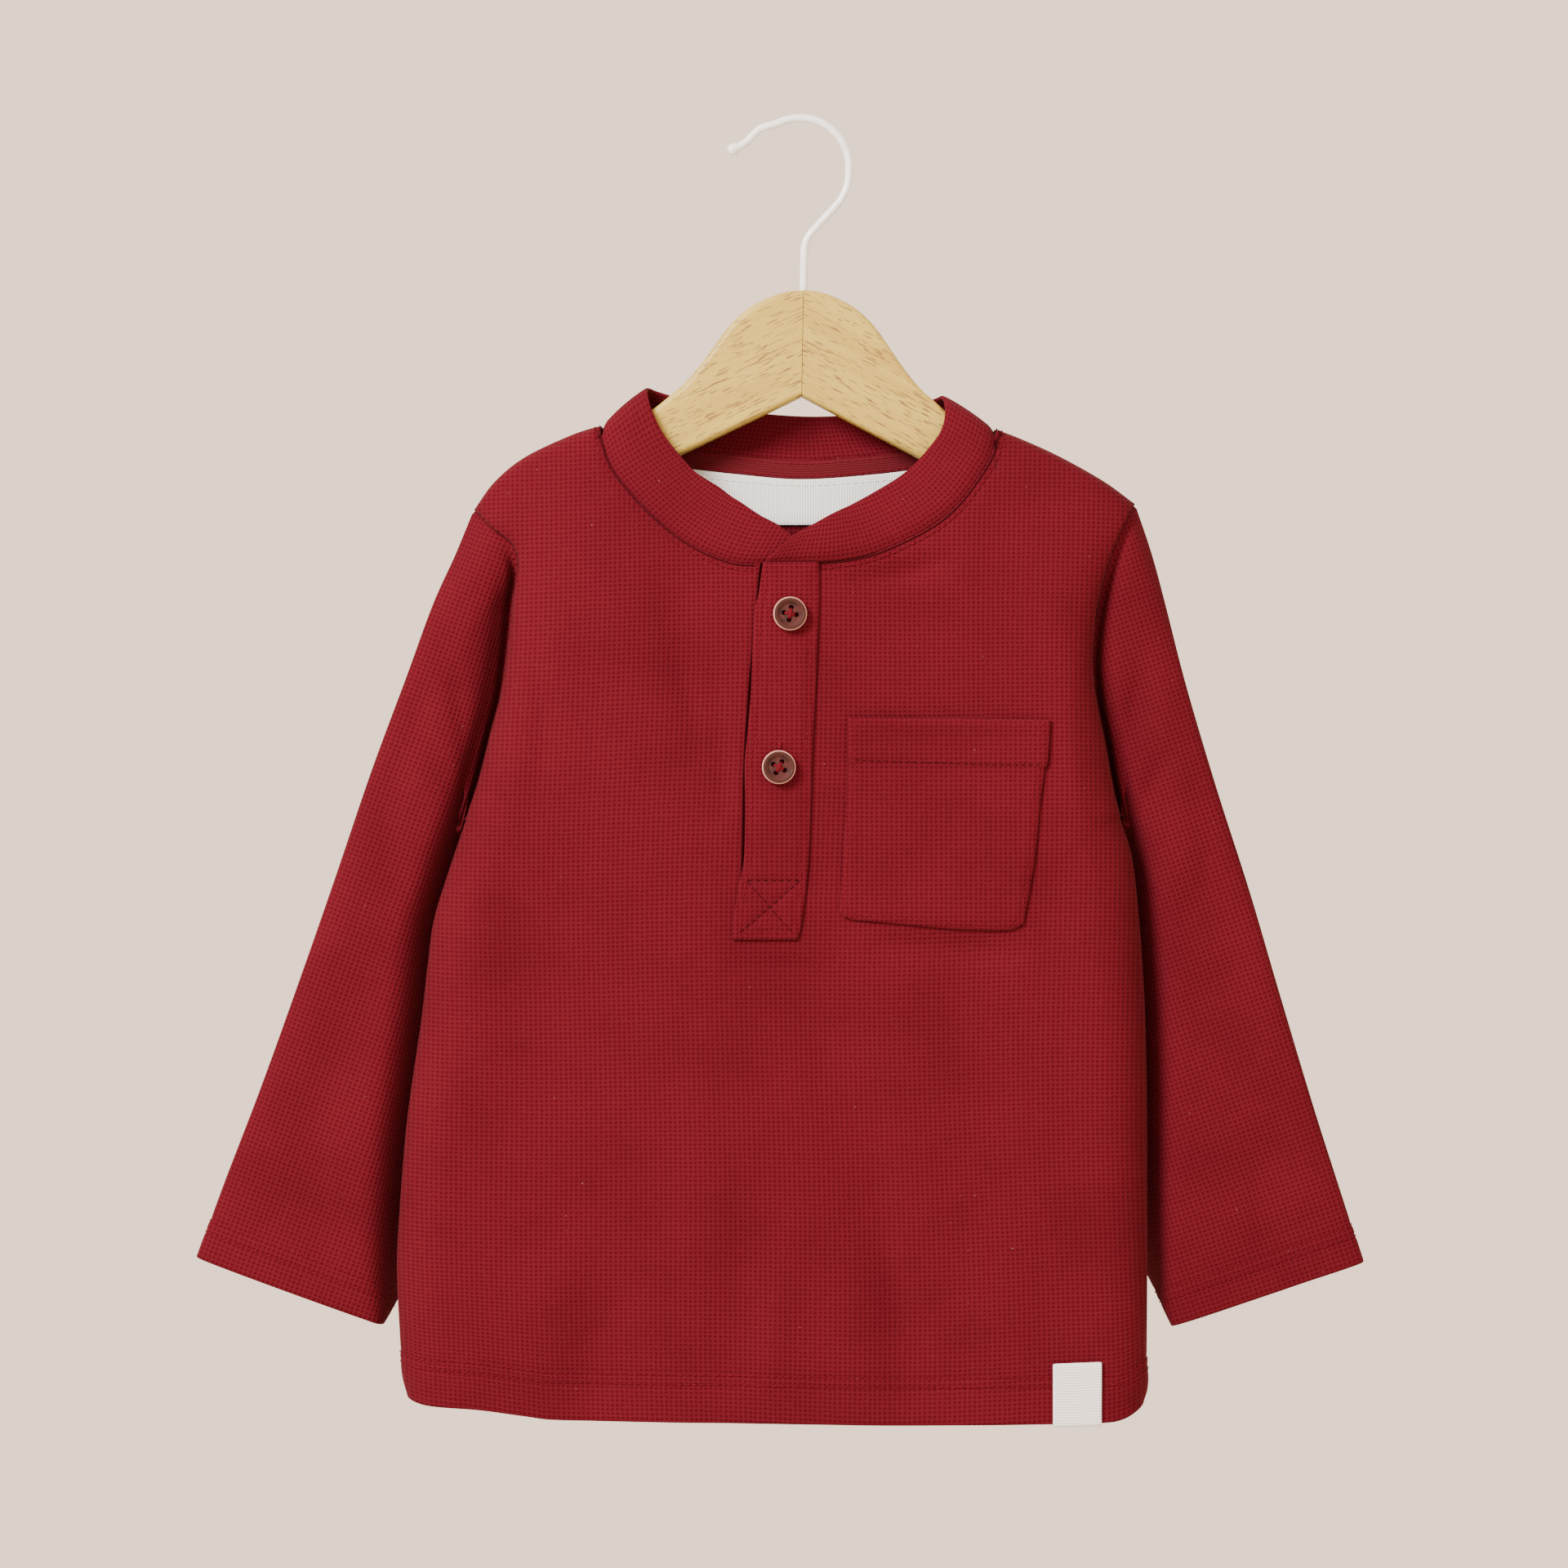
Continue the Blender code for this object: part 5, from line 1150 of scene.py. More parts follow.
def placket_top():
    low = PLACKET[-1][0] + PLACKET_INSET
    sides = PLACKET_INSET / PLACKET_WIDTH, 1 - PLACKET_INSET / PLACKET_WIDTH
    heights = np.linspace(PLACKET[0][0] - PLACKET_ROW_START, low, PLACKET_ROW_STEPS)
    a, b, c, d = (on_placket(z, share) for z in (PLACKET_BOX_TOP, low) for share in sides)
    lines = [[on_placket(z, share) for z in heights] for share in sides]
    lines += [[a, b], [d, c], [a, d], [b, c]]
    made, surface = applied("placket", strip(PLACKET, *PLACKET_GRID), lines, APPLIED_GROOVE, DIMPLE_WIDTH)
    rows = sewn_rows("placket", surface, lines, PLACKET_SHADE_ROWS)
    bar = on_surface(surface, dense(BUTTONHOLE_BAR, BAR_STEP))
    return made, [*rows, stitches("buttonhole_bar", *bar, THREAD, **BAR_STITCH)]


def placket_under():
    rows = [
        (left[1] - 3 * GAP, left[0] - UNDER_PLACKET_REACH, right[0] + UNDER_PLACKET_REACH)
        for left, right in zip(OPENING_LEFT, OPENING_RIGHT)
    ]
    plan = strip(rows, *UNDER_PLACKET_GRID)
    inside = on_panel(plan, "front", -CLOTH - 1.5 * GAP)
    return cloth("placket_under", inside, plan - plan[0, 0], KNIT, flip=True)


def pocket():
    us, vs = np.linspace(0, 1, POCKET_COLUMNS), np.linspace(0, 1, POCKET_ROWS)
    edges = (POCKET_TOP, us), (POCKET_BOTTOM, us), (POCKET_LEFT, vs), (POCKET_RIGHT, vs)
    plan = patch(*(resample(smooth_curve(table), shares) for table, shares in edges), us, vs)
    hem_share = POCKET_HEM / (POCKET_TOP[0][1] - POCKET_LEFT[-1][1])
    narrower = ease((vs - hem_share) / POCKET_HEM_EDGE)[:, None]
    plan[..., 0] -= POCKET_HEM_SPREAD * (2 * us - 1) ** POCKET_SPREAD_POWER * narrower
    column = round(POCKET_INSET / POCKET_WIDTH * (POCKET_COLUMNS - 1))
    row = round(POCKET_INSET / POCKET_LENGTH * (POCKET_ROWS - 1))
    side_runs = plan[:-row, column], plan[:-row, -1 - column][::-1]
    sides = np.vstack([side_runs[0], plan[-1 - row, column:-column], side_runs[1]])
    hem_line = plan[round(hem_share * (POCKET_ROWS - 1)), column:-column]
    down = vs[:, None] * POCKET_LENGTH
    step = POCKET_HEM_STEP * (1 - ease((down - hem_share * POCKET_LENGTH) / POCKET_STEP_WIDTH))
    mouth = POCKET_MOUTH * np.exp(-((down / POCKET_MOUTH_WIDTH) ** 2)) * np.sin(math.pi * us)
    puff = POCKET_PUFF * np.exp(-(((plan_edges(plan) - POCKET_PUFF_IN) / POCKET_PUFF_WIDTH) ** 2))
    lines = [sides, hem_line]
    made, surface = applied("pocket", plan, lines, DIMPLE, POCKET_DIMPLE_WIDTH, step + mouth + puff)
    for corner, way in ((plan[0, column], 1), (plan[0, -1 - column], -1)):
        lines.append([corner + (way * dx, dz) for dx, dz in POCKET_CORNER])
    return made, sewn_rows("pocket", surface, lines, POCKET_SHADE_ROWS)


# Tape and labels


def inside_neck(half_width, columns, drop):
    """An upper edge inside the back of the neck, a drop below the neckline, as xs and zs."""
    neck = smooth_curve(NECK_BACK)
    xs = np.linspace(-half_width, half_width, columns)
    return xs, np.interp(xs, neck[:, 0], neck[:, 1]) - drop


def inner_row(name, grid, row, tone):
    """Stitches along a row of a strip inside the back, on its inner face."""
    line = grid[row, 2:-2] - (0.0, WOVEN, 0.0)
    return stitches(name, line, np.tile((0.0, -1.0, 0.0), (len(line), 1)), tone)


def neck_tape():
    xs, head = inside_neck(TAPE_HALF_WIDTH, TAPE_GRID[0], 3 * GAP)
    down = -np.linspace(0, TAPE_HEIGHT, TAPE_GRID[1])[:, None]
    plan = np.stack(np.broadcast_arrays(xs, head + down), axis=-1)
    grid = on_panel(plan, "back", -CLOTH - GAP)
    weave = np.stack(np.broadcast_arrays(xs, down), axis=-1)
    made = cloth("neck_tape", grid, weave, TAPE, thick=WOVEN)
    return made, [inner_row(f"neck_tape_row_{k}", grid, row, THREAD) for k, row in enumerate((1, -2))]


def neck_label():
    xs, head = inside_neck(NECK_LABEL_HALF_WIDTH, NECK_LABEL_GRID[0], TAPE_HEIGHT + 4 * GAP)
    share = np.linspace(0, 1, NECK_LABEL_GRID[1])[:, None]
    plan = np.stack(np.broadcast_arrays(xs, head + (NECK_LABEL_FOOT_Z - head) * share), axis=-1)
    grid = on_panel(plan, "back", -CLOTH - GAP)
    made = cloth("neck_label", grid, plan[..., ::-1], LABEL, thick=WOVEN)
    return made, [inner_row("neck_label_row", grid, 2, PALE_THREAD)]


def hem_label():
    """A strip folded round the hem's edge, longer in front than inside."""
    hem = smooth_curve(FRONT_HEM)
    xs = np.linspace(HEM_LABEL_LEFT, HEM_LABEL_RIGHT, HEM_LABEL_COLUMNS)
    edge_z = np.interp(xs, hem[:, 0], hem[:, 1])
    outer = GAP + WOVEN + HEM_SWELL
    deep = CLOTH + outer
    long = HEM_LABEL_TOP_Z - edge_z + HEM_LABEL_TILT * np.linspace(-1, 1, len(xs))
    front, turns, inside = (np.linspace(*span) for span in HEM_LABEL_RUNS)
    runs = [(long * share, outer) for share in front]
    runs += [(-math.sin(turn) * outer, outer - deep / 2 * (1 - math.cos(turn))) for turn in turns]
    runs += [(HEM_LABEL_INSIDE * share, outer - deep) for share in inside]
    grid = np.stack([
        xyz(xs, panel_y(xs, np.maximum(edge_z + above, edge_z), "front") - lift, edge_z + above)
        for above, lift in runs
    ])
    down = np.stack([run_of(column) for column in grid.transpose(1, 0, 2)], axis=1)
    weave = np.stack(np.broadcast_arrays(xs, -down), axis=-1)
    return cloth("hem_label", grid, weave, LABEL, thick=WOVEN, flip=True)


# Hard pieces


def tilted(points):
    """Points of the hanger, leaned about the hook's inner top."""
    x, y, z = np.asarray(points, float).T
    return xyz(x * math.cos(TILT) + z * math.sin(TILT), y, z * math.cos(TILT) - x * math.sin(TILT))


def arc(centre, radius, from_degrees, to_degrees, steps):
    angles = np.radians(np.linspace(from_degrees, to_degrees, steps + 1))
    return [(centre[0] + radius * math.cos(a), centre[1] + radius * math.sin(a)) for a in angles]


def arm_outline():
    """One arm's outline, x outwards from the mitre, as x, z pairs."""
    top = smooth_curve([(MITRE_GAP, ARM_CROWN_Z), *ARM_TOP], ARM_TOP_STEPS)
    (from_x, from_z), (tip_x, tip_z) = top[-2:]
    fall = math.atan2(from_z - tip_z, tip_x - from_x)
    centre = tip_x - ARM_END_RADIUS * math.sin(fall), tip_z - ARM_END_RADIUS * math.cos(fall)
    turns = 90 - math.degrees(fall), -90 - math.degrees(math.atan(ARM_UNDER_SLOPE))
    end = arc(centre, ARM_END_RADIUS, *turns, ARM_END_STEPS)[1:]
    return np.vstack([top, end, dense([end[-1], (MITRE_GAP, ARM_UNDER_Z)], ARM_UNDER_STEP)[1:]])


def inset(outline, depth):
    """The outline moved inwards by depth. Its ends stay in the mitre's plane."""
    way = unit(np.gradient(outline, axis=0))
    moved = outline + np.stack([way[:, 1], -way[:, 0]], axis=-1) * depth
    moved[0, 0], moved[-1, 0] = outline[0, 0], outline[-1, 0]
    moved[:, 0] = np.maximum(moved[:, 0], outline[0, 0])
    return moved


def hanger_arm(side):
    """Half of the hanger, its long edges rounded, with the grain along it."""
    sign = -1 if side == "left" else 1
    half = ARM_THICK / 2
    section = [(ARM_ROUND + FACE_MARGIN, -half)]
    for turn in np.linspace(0, math.pi / 2, ARM_ROUND_STEPS):
        section.append((ARM_ROUND * (1 - math.sin(turn)), -half + ARM_ROUND * (1 - math.cos(turn))))
    section += [(depth, -y) for depth, y in section[::-1]]
    rings = []
    for depth, y in section:
        plan = inset(arm_outline(), depth)
        rings.append(xyz(STEM_X + sign * plan[:, 0], y, plan[:, 1]))
    faces = tube_faces(len(rings), len(rings[0]))
    if sign > 0:
        faces = [face[::-1] for face in faces]
    points = np.concatenate(rings)
    turn = math.atan(GRAIN_SLOPE) * sign
    x, z = points[:, 0] - STEM_X, points[:, 2]
    along = x * math.cos(turn) - z * math.sin(turn)
    across = x * math.sin(turn) + z * math.cos(turn)
    grain = xyz(along * sign + GRAIN_START[side], across, points[:, 1])
    made = mesh_piece(f"hanger_arm_{side}{FINE}", tilted(points), faces, WOOD, grain)
    made.data.set_sharp_from_angle(angle=math.radians(SHARP_DEGREES))
    return made


def glue_line():
    """The dark glue in the mitre below the hook's stem, its lower corners cut off."""
    side = ARM_THICK / 2 - GLUE_SET_BACK
    low = ARM_UNDER_Z + GLUE_SET_BACK
    outline = [(ARM_ROUND - side, low), (-side, low + ARM_ROUND), (-side, HOOK_STEM_FOOT_Z)]
    outline += [(-y, z) for y, z in outline[::-1]]
    points = [(STEM_X + x, y, z) for x in (-MITRE_GAP, MITRE_GAP) for y, z in outline]
    return mesh_piece("mitre_glue", tilted(points), tube_faces(2, len(outline)), GLUE, smooth=False)


def hook_line():
    """The hook's centre line from its ball tip to its foot, as x, z, share of the wire's radius."""
    inner = HOOK_RADIUS - WIRE / 2
    over = arc((0.0, -inner), HOOK_RADIUS, HOOK_TIP_ANGLE, 0.0, HOOK_ARC_STEPS)
    under = arc((0.0, -inner - HOOK_DROP), HOOK_RADIUS, 0.0, HOOK_FOOT_ANGLE, HOOK_ARC_STEPS // 3)
    turn = math.radians(HOOK_TIP_ANGLE)
    ball = [(HOOK_TIP_RUN + past, share) for past, share in HOOK_BALL][::-1]
    plain = [(run, 1.0) for run in np.linspace(HOOK_TIP_RUN, HOOK_TIP_RUN / HOOK_TIP_STEPS, HOOK_TIP_STEPS)]
    shares, bends = smooth_curve(HOOK_TIP_BEND).T
    tip = []
    for run, share in ball + plain:
        bend = np.interp(run / HOOK_TIP_RUN, shares, bends)
        x = over[0][0] - math.sin(turn) * run + math.cos(turn) * bend
        z = over[0][1] + math.cos(turn) * run + math.sin(turn) * bend
        tip.append((x, z, share))
    turn = math.radians(HOOK_FOOT_ANGLE)
    foot_way = (math.sin(turn), -math.cos(turn))
    bend_x = STEM_X + HOOK_NECK_RADIUS * (1 + foot_way[1])
    run = (bend_x - under[-1][0]) / foot_way[0]
    middle_z = under[-1][1] + foot_way[1] * run + foot_way[0] * HOOK_NECK_RADIUS
    middle = (STEM_X + HOOK_NECK_RADIUS, middle_z)
    neck = arc(middle, HOOK_NECK_RADIUS, 180.0 + HOOK_FOOT_ANGLE, 180.0, HOOK_NECK_STEPS)
    stem = [(STEM_X, neck[-1][1] - drop) for drop in HOOK_STEM_DROPS] + [(STEM_X, HOOK_STEM_FOOT_Z)]
    return np.asarray(tip + [(x, z, 1.0) for x, z in [*over, *under[1:], *neck, *stem]])


def hook():
    """The hook's wire, a round tube along its line."""
    x, z, share = hook_line().T[..., None]
    way_x, way_z = unit(np.gradient(np.hstack([x, z]), axis=0)).T[..., None]
    turns = np.linspace(0, 2 * math.pi, WIRE_SIDES, endpoint=False)
    in_plane, to_back = np.cos(turns) * share * WIRE / 2, np.sin(turns) * share * WIRE / 2
    points = xyz(x - way_z * in_plane, to_back, z + way_x * in_plane).reshape(-1, 3)
    faces = [face[::-1] for face in tube_faces(len(x), WIRE_SIDES)]
    return mesh_piece("hook" + FINE, tilted(points), faces, PAINT)


def turned(profile, sides, centre=(0.0, 0.0)):
    """The points of rings given as radius, height, round an upright axis."""
    turns = np.linspace(0, 2 * math.pi, sides, endpoint=False)
    radius, height = np.asarray(profile).T[..., None]
    points = xyz(centre[0] + radius * np.cos(turns), centre[1] + radius * np.sin(turns), height)
    return points.reshape(-1, 3)


def button(name):
    """A turned disc with a rim, a shallow dish and four holes, sewn on with crossing threads."""
    x, z, turn = BUTTONS[name]
    seat_y = float(panel_y(x, z, "front")) - CLOTH - 3 * GAP
    profile = smooth_curve(BUTTON_SECTION, BUTTON_STEPS)
    faces = [face[::-1] for face in tube_faces(len(profile), BUTTON_SIDES)]
    blank = mesh_piece(f"{name}_blank", turned(profile, BUTTON_SIDES), faces, BUTTON, smooth=False)
    ends = [(BUTTON_HOLE_RADIUS, -BUTTON_THICK), (BUTTON_HOLE_RADIUS, 2 * BUTTON_THICK)]
    points, faces = [], []
    for centre in arc((0.0, 0.0), BUTTON_HOLE_RING, 0.0, 270.0, 3):
        faces += tube_faces(2, HOLE_SIDES, len(points) * 2 * HOLE_SIDES)
        points.append(turned(ends, HOLE_SIDES, centre))
    drill = mesh_piece(f"{name}_drill", np.concatenate(points), faces, BUTTON, smooth=False)
    holes = blank.modifiers.new("holes", "BOOLEAN")
    holes.operation = "DIFFERENCE"
    holes.object = drill
    bpy.context.view_layer.update()
    cut = blank.evaluated_get(bpy.context.evaluated_depsgraph_get())
    mesh = bpy.data.meshes.new_from_object(cut)
    for spent in (blank, drill):
        bpy.data.objects.remove(spent, do_unlink=True)
    mesh.shade_smooth()
    mesh.set_sharp_from_angle(angle=math.radians(SHARP_DEGREES))
    made = placed(name + FINE, mesh)
    spin = Euler((math.radians(90), math.radians(turn), 0.0)).to_matrix().to_4x4()
    made.matrix_world = Matrix.Translation((x * MM, seat_y * MM, z * MM)) @ spin

    threads = []
    t = np.linspace(-1, 1, BUTTON_THREAD_STEPS)
    sink = THREAD_SINK * np.maximum(0, np.abs(t) - THREAD_SHARE) ** THREAD_SINK_POWER
    for quarter in range(2):
        angle = math.radians(turn) + math.pi / 2 * quarter
        y = seat_y - BUTTON_SECTION[0][1] - THREAD_RISE * (1 + quarter) * (1 - t ** 2) + sink
        along_x, along_z = math.cos(angle) * BUTTON_HOLE_RING * t, math.sin(angle) * BUTTON_HOLE_RING * t
        for offset in (-THREAD_SPREAD, THREAD_SPREAD):
            beside_x, beside_z = math.sin(angle) * offset, math.cos(angle) * offset
            threads.append(xyz(x + along_x - beside_x, y, z - along_z - beside_z))
    return made, tubes(f"{name}_thread", threads, BUTTON_THREAD, THREAD)


# Looks


def material(name, values):
    """A new material, its tree and its shader, whose inputs take the values by name."""
    made = bpy.data.materials.new(name)
    made.use_nodes = True
    shader = made.node_tree.nodes["Principled BSDF"]
    for key, value in values.items():
        shader.inputs[key].default_value = value
    return made, made.node_tree, shader


def feed(tree, socket, value):
    """Links a socket to another one, or sets it to a number or a colour."""
    if isinstance(value, bpy.types.NodeSocket):
        tree.links.new(value, socket)
    elif socket.type == "RGBA" and len(value) == 3:
        socket.default_value = (*value, 1.0)
    else:
        socket.default_value = value


def add(tree, kind, links=(), **settings):
    """A shader node with settings by name, and its inputs fed by number or name."""
    made = tree.nodes.new(kind)
    for key, value in settings.items():
        setattr(made, key, value)
    for socket, value in dict(links).items():
        feed(tree, made.inputs[socket], value)
    return made


def maths(tree, operation, *values):
    return add(tree, "ShaderNodeMath", enumerate(values), operation=operation).outputs[0]


def mix(tree, share, low, high):
    """A colour between two colours or sockets."""
    return add(tree, "ShaderNodeMix", {0: share, 6: low, 7: high}, data_type="RGBA").outputs[2]


def noise(tree, place, scale, detail=2.0, rough=0.5):
    links = {"Vector": place, "Scale": scale, "Detail": detail, "Roughness": rough}
    return add(tree, "ShaderNodeTexNoise", links).outputs["Fac"]


def stretch(tree, place, *scales):
    return add(tree, "ShaderNodeVectorMath", {0: place, 1: scales}, operation="MULTIPLY").outputs[0]


def ramp(tree, share, low, high):
    """0 below low and 1 above high, eased between them."""
    links = {"Value": share, "From Min": low, "From Max": high}
    return add(tree, "ShaderNodeMapRange", links, interpolation_type="SMOOTHSTEP").outputs[0]


def bump(tree, height, shader, distance):
    made = add(tree, "ShaderNodeBump", {"Height": height, "Distance": distance * MM, "Strength": 1.0})
    feed(tree, shader.inputs["Normal"], made.outputs[0])


def weave_place(tree):
    return add(tree, "ShaderNodeAttribute", attribute_name="weave").outputs["Vector"]


def body_place(tree):
    return add(tree, "ShaderNodeTexCoord").outputs["Object"]


def knit():
    """Waffle knit: soft square pits between ribs, with fuzz and a faint unevenness of tone."""
    made, tree, shader = material("waffle_knit", KNIT_FINISH)
    place, body = weave_place(tree), body_place(tree)
    wander = add(tree, "ShaderNodeTexNoise", {"Vector": place, "Scale": 0.28, "Detail": 2.0})
    links = {0: wander.outputs["Color"], 1: (KNIT_WANDER,) * 3, 2: place}
    shift = add(tree, "ShaderNodeVectorMath", links, operation="MULTIPLY_ADD")
    parts = add(tree, "ShaderNodeSeparateXYZ", {0: shift.outputs[0]})
    waves = []
    for axis, pitch in enumerate(KNIT_PITCH):
        turned_by = maths(tree, "MULTIPLY", parts.outputs[axis], 2 * math.pi / pitch)
        waves.append(maths(tree, "MULTIPLY_ADD", maths(tree, "COSINE", turned_by), 0.5, 0.5))
    pit = maths(tree, "MULTIPLY", *waves)
    fuzz = noise(tree, body, 2600.0, 3.0, 0.7)
    patches = noise(tree, body, 26.0, 3.0, 0.55)
    uneven_pits = maths(tree, "MULTIPLY", pit, ramp(tree, noise(tree, place, 0.42), 0.0, 0.62))
    share = ramp(tree, maths(tree, "MULTIPLY_ADD", fuzz, 0.7, uneven_pits), 0.30, 0.95)
    near, far = mix(tree, share, KNIT_RIB, KNIT_PIT), mix(tree, share, KNIT_RIB_FAR, KNIT_PIT_FAR)
    tone = mix(tree, ramp(tree, patches, 0.30, 0.72), near, far)
    specks = ramp(tree, noise(tree, body, 900.0, 1.0, 0.4), 0.83, 0.86)
    tone = mix(tree, maths(tree, "MULTIPLY", specks, 0.22), tone, LINT)
    feed(tree, shader.inputs["Base Color"], tone)
    height = maths(tree, "MULTIPLY_ADD", fuzz, 0.22, maths(tree, "MULTIPLY", pit, -1.0))
    bump(tree, height, shader, KNIT_DEPTH)
    return made


def thread(name, light, dark):
    made, tree, shader = material(name, {"Roughness": 0.85, "Specular IOR Level": 0.06})
    grains = noise(tree, body_place(tree), 1500.0, 2.0, 0.6)
    feed(tree, shader.inputs["Base Color"], mix(tree, ramp(tree, grains, 0.3, 0.7), dark, light))
    bump(tree, grains, shader, 0.05)
    return made


def ribbed(name, pitch, depth, light, dark, spread):
    """Woven cloth with fine ribs along its length."""
    made, tree, shader = material(name, {"Roughness": 0.85, "Specular IOR Level": 0.12})
    place = weave_place(tree)
    parts = add(tree, "ShaderNodeSeparateXYZ", {0: place})
    rib, yarn = (
        maths(tree, "SINE", maths(tree, "MULTIPLY", parts.outputs[axis], 2 * math.pi / wide))
        for axis, wide in ((1, pitch), (0, pitch * 0.8))
    )
    grains = noise(tree, stretch(tree, place, 0.25, 2.4, 1.0), 1.0, 3.0, 0.6)
    ribs = maths(tree, "MULTIPLY", maths(tree, "MULTIPLY_ADD", rib, 0.5, 0.5), 0.6)
    share = maths(tree, "MULTIPLY_ADD", yarn, 0.06, maths(tree, "MULTIPLY_ADD", grains, spread, ribs))
    feed(tree, shader.inputs["Base Color"], mix(tree, ramp(tree, share, 0.2, 1.0), dark, light))
    bump(tree, share, shader, depth)
    return made


def button_look():
    """Satin brown with cloudy streaks and a pale rim, told apart by the distance from the middle."""
    made, tree, shader = material("button_resin", {"Specular IOR Level": 0.22})
    body = body_place(tree)
    flat = stretch(tree, body, 1.0, 1.0, 0.0)
    radius = add(tree, "ShaderNodeVectorMath", {0: flat}, operation="LENGTH").outputs["Value"]
    streaks = noise(tree, stretch(tree, body, 260.0, 620.0, 260.0), 1.0, 3.0, 0.55)
    tone = mix(tree, ramp(tree, streaks, 0.35, 0.66), BUTTON_DARK, BUTTON_FACE)
    for (start, end), ring in ((BEVEL_RING, BUTTON_BEVEL), (RIM_RING, BUTTON_RIM)):
        tone = mix(tree, ramp(tree, radius, start * MM, end * MM), tone, ring)
    feed(tree, shader.inputs["Base Color"], tone)
    feed(tree, shader.inputs["Roughness"], ramp(tree, streaks, -1.2, 1.5))
    bump(tree, noise(tree, body, 900.0), shader, 0.03)
    return made


def wood():
    """Pale lacquered beech: soft bands and short dark pore flecks along each arm."""
    made, tree, shader = material("pale_wood", {"Specular IOR Level": 0.3})
    place = weave_place(tree)
    bands = noise(tree, stretch(tree, place, 0.012, 0.16, 0.16), 1.0, 3.0, 0.55)
    fine = noise(tree, stretch(tree, place, 0.05, 1.3, 1.3), 1.0, 4.0, 0.6)
    flecks = noise(tree, stretch(tree, place, 0.19, 2.1, 2.1), 1.0, 1.0, 0.4)
    tone = mix(tree, ramp(tree, bands, 0.34, 0.66), WOOD_DARK, WOOD_LIGHT)
    tone = mix(tree, maths(tree, "MULTIPLY", ramp(tree, fine, 0.45, 0.75), 0.35), tone, WOOD_DARK)
    tone = mix(tree, maths(tree, "MULTIPLY", ramp(tree, flecks, 0.60, 0.67), 0.85), tone, WOOD_FLECK)
    feed(tree, shader.inputs["Base Color"], tone)
    feed(tree, shader.inputs["Roughness"], ramp(tree, fine, -0.8, 2.0))
    bump(tree, maths(tree, "MULTIPLY_ADD", flecks, -0.5, fine), shader, 0.05)
    return made


def paint():
    """White paint over wire, faintly uneven."""
    made, tree, shader = material("white_paint", {"Coat Weight": 0.5, "Coat Roughness": 0.15})
    runs = noise(tree, body_place(tree), 180.0, 3.0, 0.6)
    tone = mix(tree, ramp(tree, runs, 0.3, 0.7), PAINT_DARK, PAINT_LIGHT)
    feed(tree, shader.inputs["Base Color"], tone)
    feed(tree, shader.inputs["Roughness"], ramp(tree, runs, -0.5, 2.4))
    bump(tree, runs, shader, 0.06)
    return made


KNIT = knit()
THREAD = thread("red_thread", (0.138, 0.0066, 0.0148), (0.094, 0.0029, 0.0080))
# Painted shade: a near-black thread for the lines and rows of stitches that stand in for the shadow in seams
# and stitched grooves
SHADE_THREAD = thread("dark_thread", (0.042, 0.0022, 0.0048), (0.027, 0.0012, 0.0028))
GLUE = thread("glue", (0.15, 0.085, 0.022), (0.11, 0.060, 0.016))
PALE_THREAD = thread("pale_thread", (0.78, 0.76, 0.74), (0.62, 0.60, 0.58))
TAPE = ribbed("red_tape", 0.9, 0.12, (0.105, 0.0075, 0.0135), (0.066, 0.003, 0.0065), 0.5)
LABEL = ribbed("woven_label", 1.0, 0.18, (0.95, 0.95, 0.96), (0.62, 0.62, 0.63), 0.30)
BUTTON = button_look()
WOOD = wood()
PAINT = paint()


# The studio


def area_light(name, place, target, size, power, colour):
    data = bpy.data.lights.new(name, "AREA")
    data.shape = "DISK"
    data.size = size
    data.energy = power
    data.color = colour
    made = placed(name, data)
    made.location = place
    made.rotation_euler = (Vector(target) - Vector(place)).to_track_quat("-Z", "Y").to_euler()


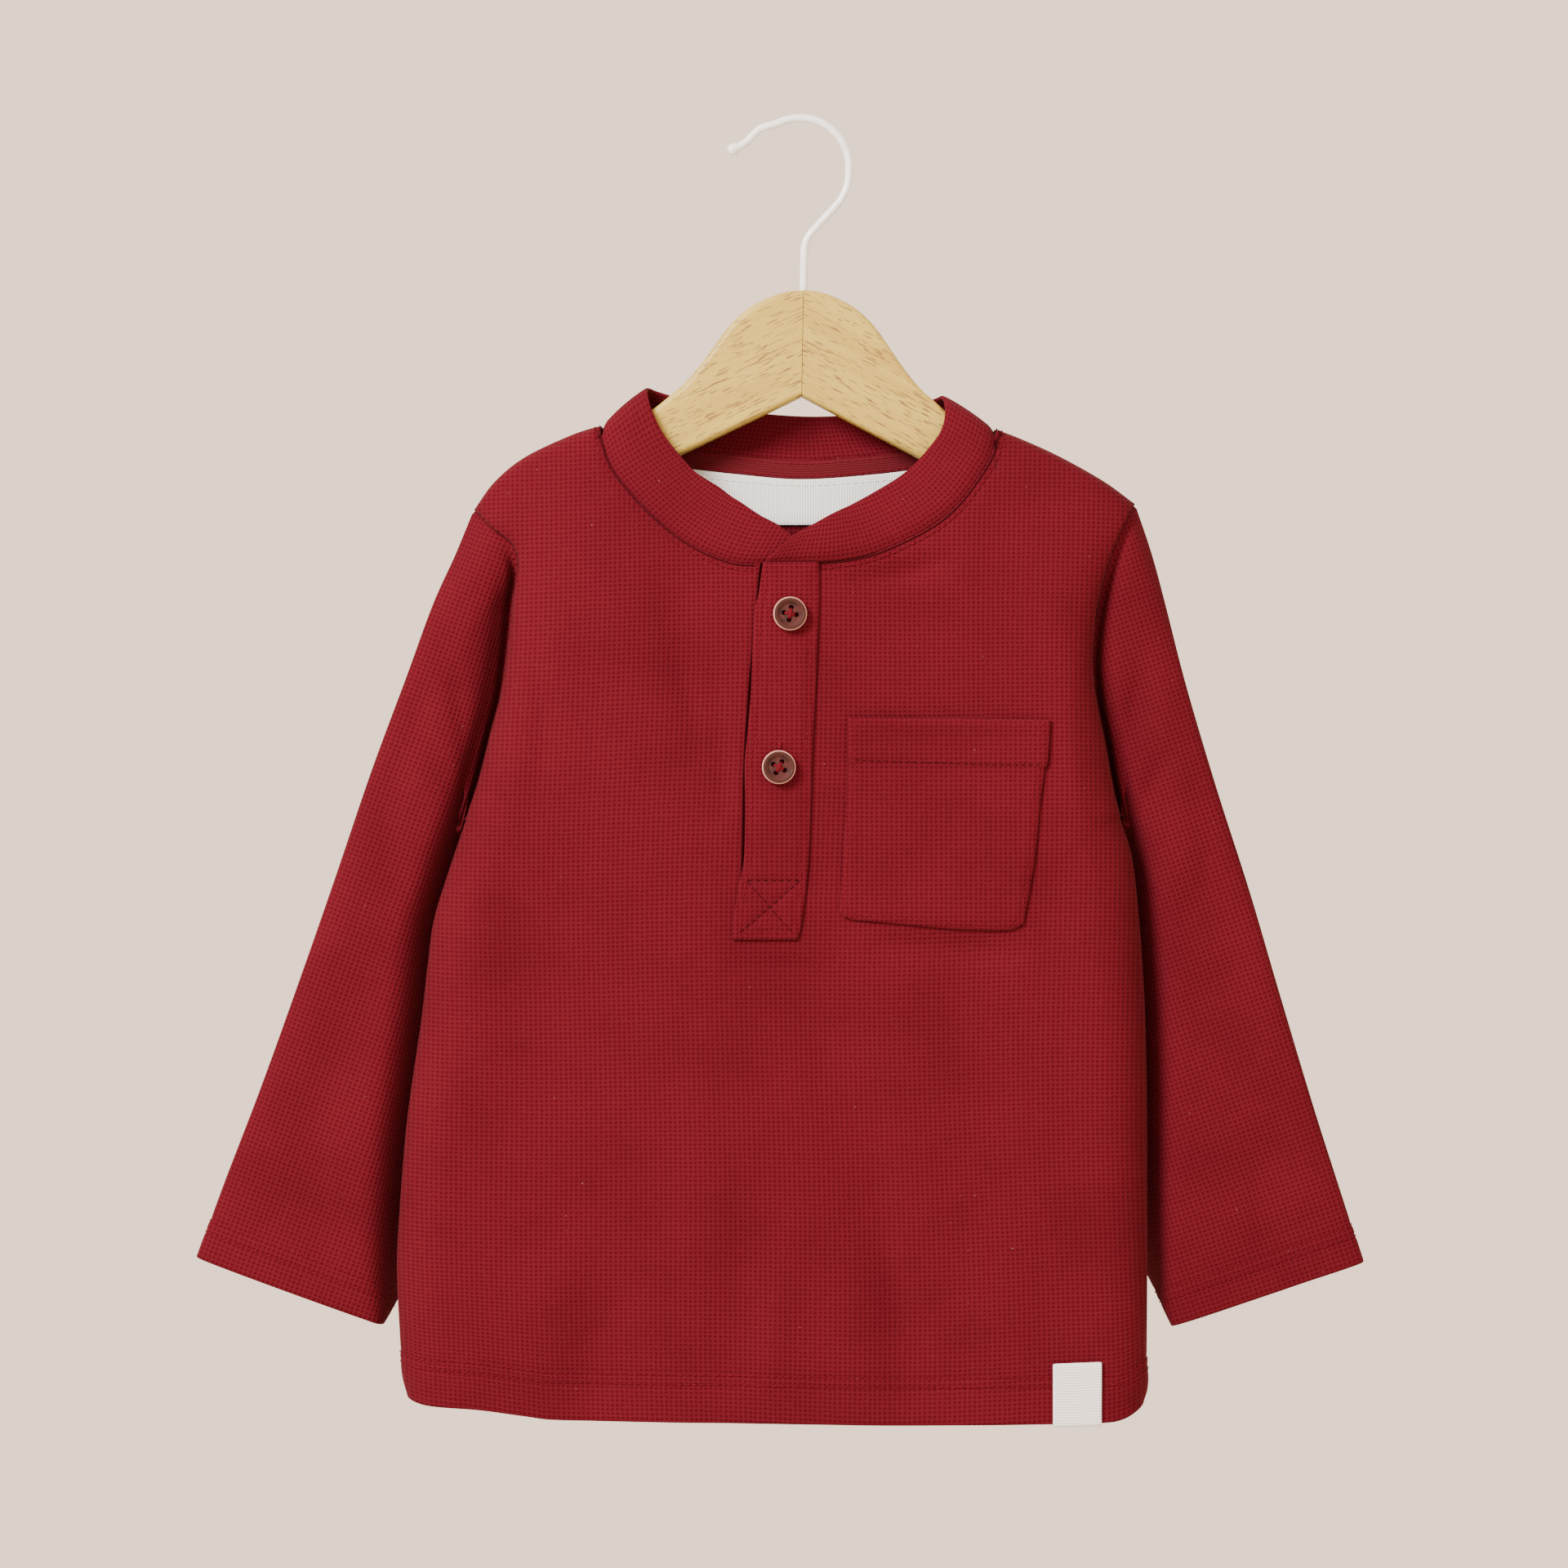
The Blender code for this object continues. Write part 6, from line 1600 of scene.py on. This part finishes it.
def studio():
    floor_material, tree, shader = material("pale_floor", {"Roughness": 0.9})
    grain = noise(tree, body_place(tree), 30.0, 4.0, 0.6)
    dull = tuple(0.96 * c for c in FLOOR_COLOUR)
    feed(tree, shader.inputs["Base Color"], mix(tree, grain, dull, FLOOR_COLOUR))
    signs = ((-1, -1), (1, -1), (1, 1), (-1, 1))
    corners = [(x * FLOOR_REACH, y * FLOOR_REACH, FLOOR_Z) for x, y in signs]
    mesh_piece("floor", corners, [(0, 1, 2, 3)], floor_material, smooth=False)

    world = bpy.data.worlds.new("studio")
    world.use_nodes = True
    background = world.node_tree.nodes["Background"]
    background.inputs["Color"].default_value = (*WORLD_COLOUR, 1.0)
    background.inputs["Strength"].default_value = WORLD_STRENGTH
    bpy.context.scene.world = world
    for light in LIGHTS:
        area_light(*light)

    data = bpy.data.cameras.new("camera")
    data.angle = 2 * math.atan(FRAME_WIDTH / 2 / CAMERA_DISTANCE)
    data.clip_end = CAMERA_REACH
    camera = placed("camera", data)
    camera.location = (CAMERA_X * MM, -CAMERA_DISTANCE * MM, CAMERA_Z * MM)
    camera.rotation_euler = (math.radians(90), 0.0, 0.0)
    bpy.context.scene.camera = camera


# Putting it together


def belongs(piece, replaces=True):
    """Puts a piece in the body, and in its solid's place where it has one."""
    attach(piece, BODY)
    if replaces:
        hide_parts(piece.name.removesuffix(FINE))


def sewn_sheet(made):
    """A piece of cloth that stands for its solid, with its rows of stitches if it has any."""
    piece, rows = made if isinstance(made, tuple) else (made, [])
    belongs(piece)
    for row in rows:
        belongs(row, replaces=False)


def main():
    sewn_sheet(front_panel())
    sewn_sheet(back_panel())
    for side in SIDES:
        sewn_sheet(sleeve(side))
    sewn_sheet(collar_band())
    sewn_sheet(placket_top())
    sewn_sheet(placket_under())
    sewn_sheet(pocket())
    sewn_sheet(neck_tape())
    sewn_sheet(neck_label())
    sewn_sheet(hem_label())
    for name in BUTTONS:
        disc, threads = button(name)
        belongs(disc)
        belongs(threads, replaces=False)
    for side in SIDES:
        belongs(hanger_arm(side))
    belongs(glue_line(), replaces=False)
    belongs(hook())
    studio()


main()
